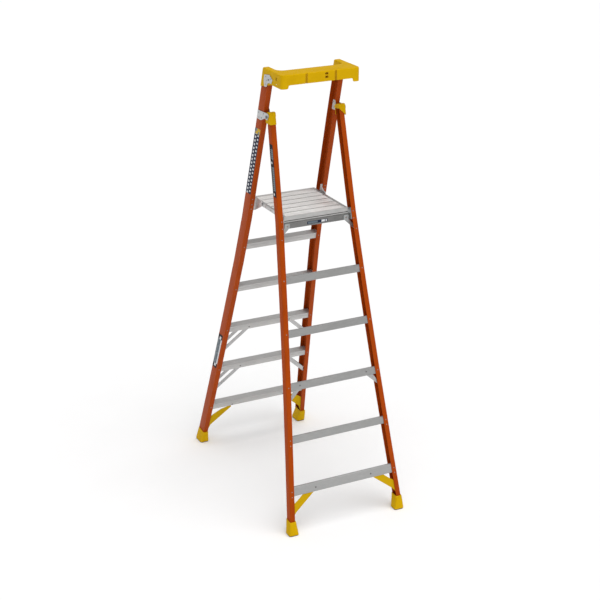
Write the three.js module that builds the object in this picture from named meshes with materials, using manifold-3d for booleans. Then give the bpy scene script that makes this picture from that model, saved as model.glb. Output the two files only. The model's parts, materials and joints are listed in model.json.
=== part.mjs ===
// Platform step ladder: two climbing rails with five ribbed steps, a ribbed
// platform, a rear frame of two rails and five horizontals, and a guardrail.
// Millimetres, +Z up, +Y towards the rear frame, origin on the floor in the
// middle of the footprint. "right" is +X, "left" is -X.
import * as THREE from "three";
import Module from "manifold-3d";
import { mergeVertices } from "three/addons/utils/BufferGeometryUtils.js";

const wasm = await Module();
wasm.setup();

// ---------------------------------------------------------------- dimensions
const GAP = 0.3; // clearance between neighbouring pieces

// climbing rails: rear plane y = CLIMB_Y0 + CLIMB_SLOPE * z
const CLIMB_Y0 = -636.3;
const CLIMB_SLOPE = 0.307;
const CLIMB_DEPTH = 77; // square to the rail
const CLIMB_FLANGE = 30.5;
const CLIMB_WALL = 3.8;
const CLIMB_WEB = 4;
const CLIMB_Z0 = 9;
const CLIMB_Z1 = 2600;
// half width over the rail webs, at heights above the floor
const CLIMB_HALF = [
  [0, 380], [450, 342.3], [900, 308], [1400, 272.5], [1700, 257], [2300, 244.3], [2700, 239],
];

// rear rails: rear plane y = REAR_Y0 - REAR_SLOPE * z
const REAR_Y0 = 719.6;
const REAR_SLOPE = 0.229;
const REAR_DEPTH = 50;
const REAR_FLANGE = 30;
const REAR_WALL = 3.8;
const REAR_WEB = 4;
const REAR_Z0 = 9;
const REAR_Z1 = 2408;
const REAR_HALF = [
  [0, 380], [450, 342.8], [900, 307.8], [1350, 277.5], [1800, 250.5], [2430, 232.5],
];

// steps
const STEP_RISE = 304.8;
const STEP_COUNT = 5;
const STEP_APRON = 38;
const STEP_SKIN = 2.5;
const STEP_RIBS = 10;
const STEP_RIB_HEIGHT = 1.2;
const STRAP_WIDTH = 25.4;
const STRAP_THICK = 2.5;
const STRAP_INSET = 167; // rivet distance from the rail web

// rear horizontals
const BAR_BOTTOM = 234.4;
const BAR_HEIGHT = 43.5;
const BAR_HEIGHT_LOWEST = 54.1;
const BAR_SKIN = 2.2;
const BAR_FLANGE = 21;

// platform
const DECK_TOP = 1829;
const DECK_THICK = 23;
const DECK_HALF = 206;
const DECK_FRONT = -152.6;
const DECK_REAR = 284.7;
const DECK_JOINTS = [-134.6, -65.6, 3.4, 72.4, 141.4, 210.4, 279.4];
const DECK_PIVOT = [-24, 1820]; // y, z

// rear frame hinge
const HINGE = [145.4, 2385]; // y, z
const BOLT_R = 5;
const BOLT_FIT = 0.08; // radial clearance of a pivot bolt in its hole

// support bar under the rear edge of the platform
const SUPPORT = { y0: 276, y1: 292, z0: 1755, z1: 1790 };

// guardrail
const RAIL_TOP = 2662;
const RAIL_OUT = 245;
const RAIL_IN = 205;
const RAIL_ARM_Z = 2583;
const RAIL_BAR_Z = 2603;
const RAIL_BAR_Y0 = 218.4;
const RAIL_BAR_Y1 = 338.5;
const RAIL_SKIN = 3.2;

// ---------------------------------------------------------------- materials
const finish = (color, roughness, metalness) => () =>
  new THREE.MeshStandardMaterial({ color, roughness, metalness, flatShading: true });
const fibreglass = finish(0xd0591b, 0.5, 0);
const aluminium = finish(0xb4b5b5, 0.42, 0.85);
const deckAluminium = finish(0xc4c4c3, 0.4, 0.85);
const zinc = finish(0xcfd0cf, 0.35, 0.9);
const safetyYellow = finish(0xe3b710, 0.5, 0);
const rubber = finish(0x1d1d1e, 0.85, 0);

// ---------------------------------------------------------------- helpers
const X = new THREE.Vector3(1, 0, 0);
const Y = new THREE.Vector3(0, 1, 0);
const Z = new THREE.Vector3(0, 0, 1);
const table = (t, z) => {
  let i = 0;
  while (i < t.length - 2 && z > t[i + 1][0]) i++;
  const [a, b] = [t[i], t[i + 1]];
  return a[1] + ((b[1] - a[1]) * (z - a[0])) / (b[0] - a[0]);
};
const climbHalf = (z) => table(CLIMB_HALF, z);
const rearHalf = (z) => table(REAR_HALF, z);
const climbAngle = Math.atan(CLIMB_SLOPE);
const rearAngle = Math.atan(REAR_SLOPE);
const climbY = (z) => CLIMB_Y0 + CLIMB_SLOPE * z;
const rearY = (z) => REAR_Y0 - REAR_SLOPE * z;

// a leaning frame: u runs up the rail, n is square to it and points rearwards
const CLIMB = {
  u: new THREE.Vector3(0, Math.sin(climbAngle), Math.cos(climbAngle)),
  n: new THREE.Vector3(0, Math.cos(climbAngle), -Math.sin(climbAngle)),
  o: new THREE.Vector3(0, CLIMB_Y0, 0),
  along: (z, n = 0) => (z + n * Math.sin(climbAngle)) / Math.cos(climbAngle),
};
const REAR = {
  u: new THREE.Vector3(0, -Math.sin(rearAngle), Math.cos(rearAngle)),
  n: new THREE.Vector3(0, Math.cos(rearAngle), Math.sin(rearAngle)),
  o: new THREE.Vector3(0, REAR_Y0, 0),
  along: (z, n = 0) => (z - n * Math.sin(rearAngle)) / Math.cos(rearAngle),
};

// A closed outline in the (u, v) plane swept along w from one distance to another.
function sweep(points, u, v, w, from, to, origin = new THREE.Vector3(), steps = 1) {
  const turned = new THREE.Vector3().crossVectors(u, v).dot(w) < 0;
  const shape = new THREE.Shape(points.map(([a, b]) => new THREE.Vector2(turned ? -a : a, b)));
  const g = new THREE.ExtrudeGeometry(shape, { depth: to - from, bevelEnabled: false, steps, curveSegments: 1 });
  const m = new THREE.Matrix4().makeBasis(turned ? u.clone().negate() : u, v, w);
  m.setPosition(origin.clone().addScaledVector(w, from));
  return g.applyMatrix4(m);
}
const alongX = (points, x0, x1) => sweep(points, Y, Z, X, x0, x1);
const alongZ = (points, z0, z1) => sweep(points, X, Y, Z, z0, z1);

function morph(g, fn) {
  const p = g.attributes.position;
  const a = new THREE.Vector3();
  for (let i = 0; i < p.count; i++) {
    a.fromBufferAttribute(p, i);
    fn(a);
    p.setXYZ(i, a.x, a.y, a.z);
  }
  return g;
}
function turnFaces(g) {
  const p = g.attributes.position;
  const a = new THREE.Vector3(), b = new THREE.Vector3();
  for (let i = 0; i < p.count; i += 3) {
    a.fromBufferAttribute(p, i + 1);
    b.fromBufferAttribute(p, i + 2);
    p.setXYZ(i + 1, b.x, b.y, b.z);
    p.setXYZ(i + 2, a.x, a.y, a.z);
  }
  return g;
}
function solid(g) {
  const flat = g.index ? g.toNonIndexed() : g;
  const bare = new THREE.BufferGeometry().setAttribute("position", flat.attributes.position.clone());
  const merged = mergeVertices(bare, 1e-3);
  return new wasm.Manifold(
    new wasm.Mesh({
      numProp: 3,
      vertProperties: new Float32Array(merged.attributes.position.array),
      triVerts: new Uint32Array(merged.index.array),
    }),
  );
}
function geometry(s) {
  const m = s.getMesh();
  const g = new THREE.BufferGeometry();
  g.setAttribute("position", new THREE.BufferAttribute(new Float32Array(m.vertProperties), m.numProp));
  g.setIndex(new THREE.BufferAttribute(new Uint32Array(m.triVerts), 1));
  return g.toNonIndexed();
}
const cut = (a, ...tools) => geometry(tools.reduce((s, t) => s.subtract(solid(t)), solid(a)));
const join = (a, ...more) => geometry(more.reduce((s, t) => s.add(solid(t)), solid(a)));
const common = (a, b) => geometry(solid(a).intersect(solid(b)));

// a round bar along X
function rod(radius, x0, x1, y, z, sides = 20) {
  const g = new THREE.CylinderGeometry(radius, radius, x1 - x0, sides);
  g.rotateZ(Math.PI / 2);
  g.translate((x0 + x1) / 2, y, z);
  return g;
}
// a bolt along X: head at the outer end, and a nut up to "nut" at the inner end
function bolt(side, inner, nut, shank, outer, radius, headRadius, y, z) {
  const profile = [
    ...(nut ? [[0, inner], [headRadius, inner], [headRadius, nut], [radius, nut]] : [[0, inner], [radius, inner]]),
    [radius, shank], [headRadius, shank], [headRadius * 0.96, outer - 0.6], [headRadius * 0.8, outer], [0, outer],
  ].map(([r, h]) => new THREE.Vector2(r, h));
  const g = new THREE.LatheGeometry(profile, 20);
  g.rotateZ(-Math.PI / 2);
  if (side < 0) g.rotateZ(Math.PI);
  g.translate(0, y, z);
  return g;
}
const arc = (cx, cy, r, a0, a1, n) =>
  Array.from({ length: n + 1 }, (_, i) => {
    const a = ((a0 + ((a1 - a0) * i) / n) * Math.PI) / 180;
    return [cx + r * Math.cos(a), cy + r * Math.sin(a)];
  });
const mirrorX = (pts, side) => pts.map(([a, b]) => [side * a, b]);

const ladder = new THREE.Group();
const pivoted = (y, z) => {
  const g = new THREE.Group();
  g.position.set(0, y, z);
  ladder.add(g);
  return g;
};
const climbingFrame = new THREE.Group();
ladder.add(climbingFrame);
const rearFrame = pivoted(...HINGE);
const platform = pivoted(...DECK_PIVOT);

// The geometry is given in the ladder's frame; the mesh sits in its group's frame.
function add(parent, name, g, material) {
  g.deleteAttribute("normal");
  g.deleteAttribute("uv");
  const c = new THREE.Vector3();
  g.computeBoundingBox();
  g.boundingBox.getCenter(c);
  c.set(Math.round(c.x), Math.round(c.y), Math.round(c.z));
  g.translate(-c.x, -c.y, -c.z);
  g.computeVertexNormals();
  const mesh = new THREE.Mesh(g, material());
  mesh.name = name;
  mesh.position.copy(c).sub(parent.position);
  parent.add(mesh);
  return mesh;
}
const SIDES = [["right", 1], ["left", -1]];

// ---------------------------------------------------------------- rails
// A channel rail with its web outboard, following the plane of its frame and
// the bow of the half-width table.
function rail(side, half, knots, planeY, cos, depth, flange, wall, web, z0, z1) {
  const levels = [z0, ...knots.map((k) => k[0]).filter((z) => z > z0 + 1 && z < z1 - 1), z1];
  const d = depth / cos, w = wall / cos;
  const profile = [
    [0, 0], [0, -d], [flange, -d], [flange, -d + w], [web, -d + w], [web, -w], [flange, -w], [flange, 0],
  ];
  const g = sweep(profile, X, Y, Z, 0, levels.length - 1, new THREE.Vector3(), levels.length - 1);
  morph(g, (p) => {
    const z = levels[Math.round(p.z)];
    p.set(side * (half(z) - p.x), planeY(z) + p.y, z);
  });
  return side > 0 ? turnFaces(g) : g;
}
const climbRail = (side) =>
  rail(side, climbHalf, CLIMB_HALF, climbY, Math.cos(climbAngle), CLIMB_DEPTH, CLIMB_FLANGE, CLIMB_WALL, CLIMB_WEB, CLIMB_Z0, CLIMB_Z1);
const rearRail = (side) =>
  rail(side, rearHalf, REAR_HALF, rearY, Math.cos(rearAngle), REAR_DEPTH, REAR_FLANGE, REAR_WALL, REAR_WEB, REAR_Z0, REAR_Z1);

// draws the ends of a piece that runs along X out to a rail web
const fitEnds = (g, inner) => morph(g, (p) => { p.x = Math.sign(p.x) * inner(p.z); });
const climbInner = (z) => climbHalf(z) - CLIMB_WEB - GAP;
const rearInner = (z) => rearHalf(z) - REAR_WEB - GAP;

for (const [name, s] of SIDES) {
  add(climbingFrame, `climbing_rail_${name}`, climbRail(s), fibreglass);
  const hole = rod(BOLT_R + BOLT_FIT, s > 0 ? 215 : -245, s > 0 ? 245 : -215, ...HINGE);
  // the front corner of the top is cut away under the cap
  const rearPlane = (z, n) => rearY(z) + n / Math.cos(rearAngle);
  const corner = alongX(
    [[rearPlane(2409.6, -14), 2409.6], [rearPlane(2391, -60), 2391], [rearPlane(2420, -60), 2420], [rearPlane(2420, -14), 2420]],
    s > 0 ? 180 : -260, s > 0 ? 260 : -180);
  add(rearFrame, `rear_rail_${name}`, cut(rearRail(s), hole, corner), fibreglass);
}

// ---------------------------------------------------------------- steps
const flangeClear = (CLIMB_WALL + GAP) / Math.cos(climbAngle);
const stepRearY = (z) => climbY(z) - flangeClear;
const stepFrontY = (z) => climbY(z) - CLIMB_DEPTH / Math.cos(climbAngle) + flangeClear;
// points down a slanting apron face, with shallow grooves cut into it
function apron(yAt, zTop, zBottom, grooves, depth, inward) {
  const out = [];
  const pitch = (zTop - zBottom) / (grooves + 0.6);
  for (let i = 0; i < grooves; i++) {
    const z = zTop - pitch * (i + 0.55);
    out.push([yAt(z), z], [yAt(z - 0.9) + inward * depth, z - 0.9], [yAt(z - 2.1) + inward * depth, z - 2.1], [yAt(z - 3), z - 3]);
  }
  return out;
}
function stepProfile(top) {
  const low = top - STEP_APRON, base = top - STEP_RIB_HEIGHT;
  const yr = stepRearY(top), yf = stepFrontY(top);
  const pts = [[yr - 1.5, top]];
  pts.push([stepRearY(top - 1.8), top - 1.8]);
  pts.push(...apron(stepRearY, top - 3, low + 3, 5, 0.6, -1));
  pts.push([stepRearY(low), low], [stepRearY(low) - STEP_SKIN, low]);
  pts.push([stepRearY(base - STEP_SKIN) - STEP_SKIN, base - STEP_SKIN]);
  pts.push([stepFrontY(base - STEP_SKIN) + STEP_SKIN, base - STEP_SKIN]);
  pts.push([stepFrontY(low) + STEP_SKIN, low], [stepFrontY(low), low]);
  pts.push([yf + 0.2, top - 1.8], [yf + 1.5, top]);
  // ribs, front to rear
  const span = yr - yf - 6, pitch = span / STEP_RIBS;
  pts.push([yf + 4, top]);
  for (let i = 0; i < STEP_RIBS; i++) {
    const y = yf + 3 + pitch * i;
    pts.push([y + 1.6, base], [y + pitch * 0.5 - 0.3, base], [y + pitch * 0.5, top], [y + pitch + 0.7, top]);
  }
  return pts.slice(0, -1);
}
for (let k = 1; k <= STEP_COUNT; k++) {
  const top = STEP_RISE * k;
  const g = alongX(stepProfile(top), -1, 1);
  add(climbingFrame, `step_${k}`, fitEnds(g, climbInner), aluminium);
}

// flat straps from steps 2 and 3 down into the rail channels
function strap(side, frame, half, web, zRivet, inset, n0, n1, slope) {
  const zc = (z) => frame.along(z, (n0 + n1) / 2);
  const xr = half(zRivet) - inset, cos = 1 / Math.hypot(1, slope);
  const dirX = cos, dirZ = -slope * cos, h = STRAP_WIDTH / 2;
  const px = slope * cos, pz = cos; // square to the strap, upwards
  const length = (half(zRivet - slope * inset) - web - GAP - xr) / cos + 30;
  const start = -11;
  const at = (t, o) => [side * (xr + dirX * t + px * o), zc(zRivet) + dirZ * t + pz * o];
  const pts = [at(start, -h + 4), at(start + 4, -h), at(length, -h), at(length, h), at(start + 4, h), at(start, h - 4)];
  const g = sweep(pts, X, frame.u, frame.n, n0, n1, frame.o);
  // trimmed to the inside of the web
  const keep = new THREE.BoxGeometry(2, 400, 300, 1, 1, 12);
  keep.translate(0, frame.o.y + frame.u.y * zc(zRivet), zRivet - 100);
  morph(keep, (p) => { p.x = side * (p.x * side > 0 ? half(p.z) - web - GAP : 20); });
  return common(g, keep);
}
const strapRear = [-CLIMB_WALL - GAP - STEP_SKIN - GAP - 0.2 - STRAP_THICK, -CLIMB_WALL - GAP - STEP_SKIN - GAP - 0.2];
const strapFront = [-CLIMB_DEPTH - strapRear[1], -CLIMB_DEPTH - strapRear[0]];
for (const k of [2, 3])
  for (const [name, s] of SIDES) {
    const z = STEP_RISE * k - 20.5;
    add(climbingFrame, `step_${k}_rear_strap_${name}`, strap(s, CLIMB, climbHalf, CLIMB_WEB, z, STRAP_INSET, ...strapRear, 0.98), aluminium);
    add(climbingFrame, `step_${k}_front_strap_${name}`, strap(s, CLIMB, climbHalf, CLIMB_WEB, z, STRAP_INSET, ...strapFront, 0.98), aluminium);
  }

// yellow corner braces on the lowest step and the lowest horizontal
function cornerPlate(side, frame, half, web, pts, n0, n1) {
  const mid = (n0 + n1) / 2;
  const g = sweep(mirrorX(pts.map(([x, z]) => [x, frame.along(z, mid)]), side), X, frame.u, frame.n, n0, n1, frame.o);
  return morph(g, (p) => {
    const limit = half(p.z) - web - GAP;
    if (Math.abs(p.x) > limit) p.x = side * limit;
  });
}
const STEP1_BRACE = [[177, 289], [177, 270], [185, 260], [326, 135], [350, 72], [400, 72], [400, 200], [344, 198], [313, 222], [262, 252], [222, 262], [206, 289]];
for (const [name, s] of SIDES)
  add(climbingFrame, `step_1_corner_brace_${name}`, cornerPlate(s, CLIMB, climbHalf, CLIMB_WEB, STEP1_BRACE, ...strapRear), safetyYellow);

// ---------------------------------------------------------------- horizontals
function barProfile(height) {
  const n0 = -(REAR_WALL + GAP), t = BAR_SKIN, pts = [];
  pts.push([0, n0 - 1], [1, n0]);
  const grooves = 6, pitch = (height - 6) / grooves;
  for (let i = 0; i < grooves; i++) {
    const u = 3 + pitch * (i + 0.25);
    pts.push([u, n0], [u + 0.9, n0 - 0.6], [u + 2.1, n0 - 0.6], [u + 3, n0]);
  }
  pts.push([height - 1, n0], [height, n0 - 1], [height, n0 - BAR_FLANGE], [height - t, n0 - BAR_FLANGE]);
  pts.push([height - t, n0 - t], [t, n0 - t], [t, n0 - BAR_FLANGE], [0, n0 - BAR_FLANGE]);
  return pts;
}
const barInside = [-(REAR_WALL + GAP) - BAR_SKIN - GAP - STRAP_THICK, -(REAR_WALL + GAP) - BAR_SKIN - GAP];
const BRACE_SLOTS = [[3, 212, 268], [5, 168, 272]]; // horizontal, from and to along X
for (let k = 1; k <= 5; k++) {
  const z = BAR_BOTTOM + STEP_RISE * (5 - k);
  const height = k === 5 ? BAR_HEIGHT_LOWEST : BAR_HEIGHT;
  const u0 = REAR.along(z);
  let g = sweep(barProfile(height).map(([u, n]) => [u0 + u, n]), REAR.u, REAR.n, X, -1, 1, REAR.o);
  g = fitEnds(g, rearInner);
  // slots in the lower flange where a corner brace passes through
  for (const [bar, a, b] of BRACE_SLOTS)
    if (bar === k)
      for (const [x0, x1] of [[a, b], [-b, -a]])
        g = cut(g, sweep(
          [[u0 - 2, barInside[0] - GAP], [u0 + 4, barInside[0] - GAP], [u0 + 4, barInside[1] + 0.15], [u0 - 2, barInside[1] + 0.15]],
          REAR.u, REAR.n, X, x0, x1, REAR.o));
  add(rearFrame, `rear_horizontal_${k}`, g, aluminium);
}
const H3_GUSSET = [[205, 878], [205, 858], [262, 806], [300, 772], [330, 772], [330, 796], [290, 804], [262, 844], [236, 878]];
const H5_BRACE = [[170, 279], [170, 244], [190, 240], [326, 135], [340, 118], [400, 92], [400, 160], [342, 181], [310, 202], [262, 240], [236, 279]];
for (const [name, s] of SIDES) {
  add(rearFrame, `horizontal_3_gusset_${name}`, cornerPlate(s, REAR, rearHalf, REAR_WEB, H3_GUSSET, ...barInside), aluminium);
  add(rearFrame, `horizontal_5_corner_brace_${name}`, cornerPlate(s, REAR, rearHalf, REAR_WEB, H5_BRACE, ...barInside), safetyYellow);
}

// ---------------------------------------------------------------- feet
// a boot of rounded rectangular section, wider at the floor than at the top
function boot(side, levels) {
  const r = 0.16;
  const ring = [
    ...arc(1 - r, 1 - r, r, 0, 90, 3), ...arc(r, 1 - r, r, 90, 180, 3),
    ...arc(r, r, r, 180, 270, 3), ...arc(1 - r, r, r, 270, 360, 3),
  ];
  const g = sweep(ring, X, Y, Z, 0, levels.length - 1, new THREE.Vector3(), levels.length - 1);
  morph(g, (p) => {
    const [z0, z1, xi, xo, ya, yb] = levels[Math.round(p.z)];
    const y = ya + (yb - ya) * p.y;
    p.set(side * (xi + (xo - xi) * p.x), y, z0 + (z1 - z0) * p.y);
  });
  return side > 0 ? g : turnFaces(g);
}
// the space a rail needs inside a boot, open towards the ladder's middle
function railSpace(side, half, planeY, cos, depth, flange, wall, web, inner) {
  const d = depth / cos, e = 0.4;
  const outer = sweep([[-e, e], [-e, -d - e], [inner, -d - e], [inner, e]], X, Y, Z, 0, 1);
  morph(outer, (p) => {
    const z = p.z > 0.5 ? 200 : 8;
    p.set(side * (half(z) - p.x), planeY(z) + p.y, z);
  });
  const w = wall / cos + 0.6;
  const core = sweep([[web + 0.4, -w], [web + 0.4, -d + w], [flange + 12, -d + w], [flange + 12, -w]], X, Y, Z, 0, 1);
  morph(core, (p) => {
    const z = p.z > 0.5 ? 58 : 7;
    p.set(side * (half(z) - p.x), planeY(z) + p.y, z);
  });
  if (side > 0) { turnFaces(outer); turnFaces(core); }
  return geometry(solid(outer).subtract(solid(core)));
}
const CLIMB_BOOT = [
  [5.3, 5.3, 328, 387, -718.7, -629.5],
  [18, 18, 330, 385.5, -716.5, -624.5],
  [62, 60, 338, 380.5, -699, -607],
  [93, 84, 341, 377, -688, -600],
];
const REAR_BOOT = [
  [5.3, 5.3, 325, 387, 658.5, 718.7],
  [16, 16, 327, 385.5, 657.5, 718.7],
  [60, 60, 334, 380.5, 650, 712],
  [88, 86, 337, 377.5, 644.5, 707],
];
const PAD = { inset: 2, thick: 5 };
for (const [name, s] of SIDES) {
  add(climbingFrame, `climbing_shoe_${name}`,
    cut(boot(s, CLIMB_BOOT), railSpace(s, climbHalf, climbY, Math.cos(climbAngle), CLIMB_DEPTH, CLIMB_FLANGE, CLIMB_WALL, CLIMB_WEB, CLIMB_FLANGE + 0.4)), safetyYellow);
  add(rearFrame, `rear_shoe_${name}`,
    cut(boot(s, REAR_BOOT), railSpace(s, rearHalf, rearY, Math.cos(rearAngle), REAR_DEPTH, REAR_FLANGE, REAR_WALL, REAR_WEB, REAR_FLANGE + 0.4)), safetyYellow);
  const pad = (b) => boot(s, [
    [0, 0, b[2] + PAD.inset, b[3] - PAD.inset, b[4] + PAD.inset, b[5] - PAD.inset],
    [PAD.thick, PAD.thick, b[2] + PAD.inset, b[3] - PAD.inset, b[4] + PAD.inset, b[5] - PAD.inset],
  ]);
  add(climbingFrame, `climbing_foot_pad_${name}`, pad(CLIMB_BOOT[0]), rubber);
  add(rearFrame, `rear_foot_pad_${name}`, pad(REAR_BOOT[0]), rubber);
}

// ---------------------------------------------------------------- top hinge
const HINGE_PLATE = [[18.5, 2351], [71, 2351], [123, 2373], [149, 2369], [156, 2371], [169, 2388], [171, 2394], [167, 2405], [161, 2408.5], [33, 2404], [27, 2400]];
for (const [name, s] of SIDES) {
  const x0 = 244.2, x1 = 247.2;
  const plate = alongX(HINGE_PLATE, s > 0 ? x0 : -x1, s > 0 ? x1 : -x0);
  add(climbingFrame, `hinge_plate_${name}`, cut(plate, rod(BOLT_R + BOLT_FIT, s > 0 ? 230 : -260, s > 0 ? 260 : -230, ...HINGE)), zinc);
  add(climbingFrame, `hinge_bolt_${name}`, bolt(s, 221, 229, 247.5, 253, BOLT_R, 9, ...HINGE), zinc);
  // moulded cap over the rear rail top
  const cy = (z, n) => rearY(z) + n / Math.cos(rearAngle);
  const block = alongX(
    [[cy(2347, 2.5), 2347], [cy(2411, 2.5), 2411], [cy(2415, -2), 2415], [cy(2415, -15), 2415], [cy(2401, -REAR_DEPTH - 1), 2401], [cy(2397, -REAR_DEPTH - 2.5), 2397], [cy(2347, -REAR_DEPTH - 2.5), 2347]],
    s > 0 ? 200.5 : -243, s > 0 ? 243 : -200.5);
  const space = alongX(
    [[cy(2340, 0.4), 2340], [cy(2411.5, 0.4), 2411.5], [cy(2411.5, -14.5), 2411.5], [cy(2397, -REAR_DEPTH - 0.4), 2397], [cy(2340, -REAR_DEPTH - 0.4), 2340]],
    s > 0 ? 202.3 : -235.6, s > 0 ? 235.6 : -202.3);
  // the inner wall ends on a slant
  const slant = alongX(
    [[cy(2340, 6), 2340], [cy(2340, 6), 2391], [cy(2385, -REAR_DEPTH - 6), 2384], [cy(2340, -REAR_DEPTH - 6), 2340]],
    s > 0 ? 190 : -202.3, s > 0 ? 202.3 : -190);
  const bore = rod(BOLT_R + BOLT_FIT, s > 0 ? 234 : -250, s > 0 ? 250 : -234, ...HINGE);
  // the rear wall of the left cap climbs from the outer corner to the inner one
  const skirt = new THREE.ExtrudeGeometry(
    new THREE.Shape([[246, 2340], [246, 2348], [203, 2391], [195, 2394], [195, 2340]].map(([x, z]) => new THREE.Vector2(s * x, z))),
    { depth: 40, bevelEnabled: false });
  skirt.rotateX(Math.PI / 2);
  skirt.translate(0, 206, 0);
  add(rearFrame, `rear_rail_cap_${name}`, cut(block, space, slant, bore, ...(s < 0 ? [skirt] : [])), safetyYellow);
}

// ---------------------------------------------------------------- guardrail
{
  const ro = 18, ri = 40, out = RAIL_OUT, inn = RAIL_IN;
  const plan = (skin) => [
    [out - skin, 20], [out - skin, RAIL_BAR_Y1 - skin - ro], ...arc(out - skin - ro + 0, RAIL_BAR_Y1 - skin - ro, ro, 0, 90, 6),
    ...arc(-out + skin + ro, RAIL_BAR_Y1 - skin - ro, ro, 90, 180, 6), [-out + skin, 20],
    [-inn - skin, 20], ...arc(-inn - skin + ri + 2 * skin, RAIL_BAR_Y0 + skin - ri, ri, 180, 90, 6),
    ...arc(inn + skin - ri - 2 * skin, RAIL_BAR_Y0 + skin - ri, ri, 90, 0, 6), [inn + skin, 20],
  ];
  const frontAt = (z) => climbY(z) - CLIMB_DEPTH / Math.cos(climbAngle);
  const armSide = (skin) => [
    [frontAt(RAIL_TOP - skin) + skin * 0, RAIL_TOP - skin], [frontAt(2550), skin ? 2540 : 2550], [79, skin ? 2540 : 2550],
    ...(skin ? [[207, 2540]] : []), [207, RAIL_ARM_Z - (skin ? 60 : 0)], [RAIL_BAR_Y1 + 4, RAIL_ARM_Z - (skin ? 60 : 0)], [RAIL_BAR_Y1 + 4, RAIL_TOP - skin],
  ];
  const outerPlan = alongZ(plan(0), 2500, RAIL_TOP);
  const arms = (skin, side) => {
    const a = RAIL_IN - 4 + skin, b = RAIL_OUT + 4;
    return alongX(armSide(skin), side > 0 ? a : -b, side > 0 ? b : -a);
  };
  const bar = new THREE.BoxGeometry(2 * RAIL_OUT + 8, 200, RAIL_TOP - RAIL_BAR_Z);
  bar.translate(0, 170 + 100, (RAIL_TOP + RAIL_BAR_Z) / 2);
  let body = solid(outerPlan).intersect(solid(arms(0, 1)).add(solid(arms(0, -1))).add(solid(bar)));
  // thin walled: hollow from below and at the front ends
  const hollowPlan = alongZ(plan(RAIL_SKIN), 2500, RAIL_TOP - RAIL_SKIN);
  const under = new THREE.BoxGeometry(600, 420, 200);
  under.translate(0, 240, RAIL_TOP - RAIL_SKIN - 100);
  body = body.subtract(solid(hollowPlan).intersect(solid(under)));
  // ribs tie the walls together under the cross bar and behind the rail tops
  const inside = solid(alongZ(plan(RAIL_SKIN - 0.8), 2500, RAIL_TOP - 1));
  for (const x of [-150, -50, 50, 150]) {
    const rib = new THREE.BoxGeometry(3, 130, RAIL_TOP - RAIL_BAR_Z - 4);
    rib.translate(x, 278, (RAIL_TOP + RAIL_BAR_Z) / 2);
    body = body.add(solid(rib).intersect(inside));
  }
  for (const s of [1, -1]) {
    const rib = new THREE.BoxGeometry(60, 3, RAIL_TOP - RAIL_ARM_Z - 6);
    rib.translate(s * 225, 196, (RAIL_TOP + RAIL_ARM_Z) / 2);
    body = body.add(solid(rib).intersect(inside));
  }
  // slot and tie hole through the outer wall of each arm
  const slot = new THREE.BoxGeometry(600, 12, 24);
  slot.translate(0, 272, 2628);
  body = body.subtract(solid(slot).subtract(solid(new THREE.BoxGeometry(2 * (RAIL_IN + 20), 40, 60).translate(0, 272, 2628))));
  body = body.subtract(solid(rod(3.5, -300, 300, 272, 2599, 12)).subtract(solid(new THREE.BoxGeometry(2 * (RAIL_IN + 20), 40, 60).translate(0, 272, 2599))));
  // two shallow grooves frame the middle of the rear face
  for (const s of [1, -1]) {
    const groove = new THREE.BoxGeometry(12, 3, 90);
    groove.translate(s * 92, RAIL_BAR_Y1, 2632);
    body = body.subtract(solid(groove));
  }
  add(climbingFrame, "guardrail", geometry(body), safetyYellow);
}
const GUARD_BRACKET = [[124, 2627], [190, 2637], [227, 2614.5], [213, 2591], [183, 2590], [162, 2581], [149, 2560.5], [121, 2557], [114, 2591]];
for (const [name, s] of SIDES) {
  const x0 = RAIL_OUT + GAP, x1 = RAIL_OUT + GAP + 3;
  add(climbingFrame, `guardrail_bracket_${name}`, alongX(GUARD_BRACKET, s > 0 ? x0 : -x1, s > 0 ? x1 : -x0), zinc);
}

// ---------------------------------------------------------------- platform
function plankProfile(y0, y1) {
  const top = DECK_TOP - 2.8, low = DECK_TOP - DECK_THICK + 3, skin = 2.4;
  const ribs = 8, lip = 2.2, pts = [[y0, top - 2.4], [y0 + lip, top - 2.4], [y0 + lip + 0.8, top]];
  const span = y1 - y0 - 2 * (lip + 0.8), pitch = span / ribs;
  for (let i = 0; i < ribs - 1; i++) {
    const y = y0 + lip + 0.8 + pitch * (i + 1);
    pts.push([y - 1.6, top], [y - 1.1, top - 0.9], [y + 1.1, top - 0.9], [y + 1.6, top]);
  }
  pts.push([y1 - lip - 0.8, top], [y1 - lip, top - 2.4], [y1, top - 2.4]);
  pts.push([y1, low], [y1 - skin, low], [y1 - skin, top - 2.4 - skin], [y0 + skin, top - 2.4 - skin], [y0 + skin, low], [y0, low]);
  return pts;
}
const deckLow = DECK_TOP - DECK_THICK;
// the first plank carries the front nose
function frontNose() {
  const y1 = DECK_JOINTS[0] - GAP;
  const nose = [
    [DECK_FRONT, deckLow], [DECK_FRONT, DECK_TOP - 5], [DECK_FRONT + 1.5, DECK_TOP - 1.5], [DECK_FRONT + 5, DECK_TOP - 0.2],
    [y1, DECK_TOP - 0.2], [y1, DECK_TOP - 2.8], [DECK_FRONT + 3, DECK_TOP - 5], [DECK_FRONT + 3, deckLow],
  ];
  const neck = [[y1 - 2, DECK_TOP - 7.5], [y1 + 2, DECK_TOP - 7.5], [y1 + 2, DECK_TOP - 5.4], [y1 - 0.4, DECK_TOP - 2.2], [y1 - 2, DECK_TOP - 2.2]];
  return [alongX(nose, -DECK_HALF, DECK_HALF), alongX(neck, -(DECK_HALF - 3.3), DECK_HALF - 3.3)];
}
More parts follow.
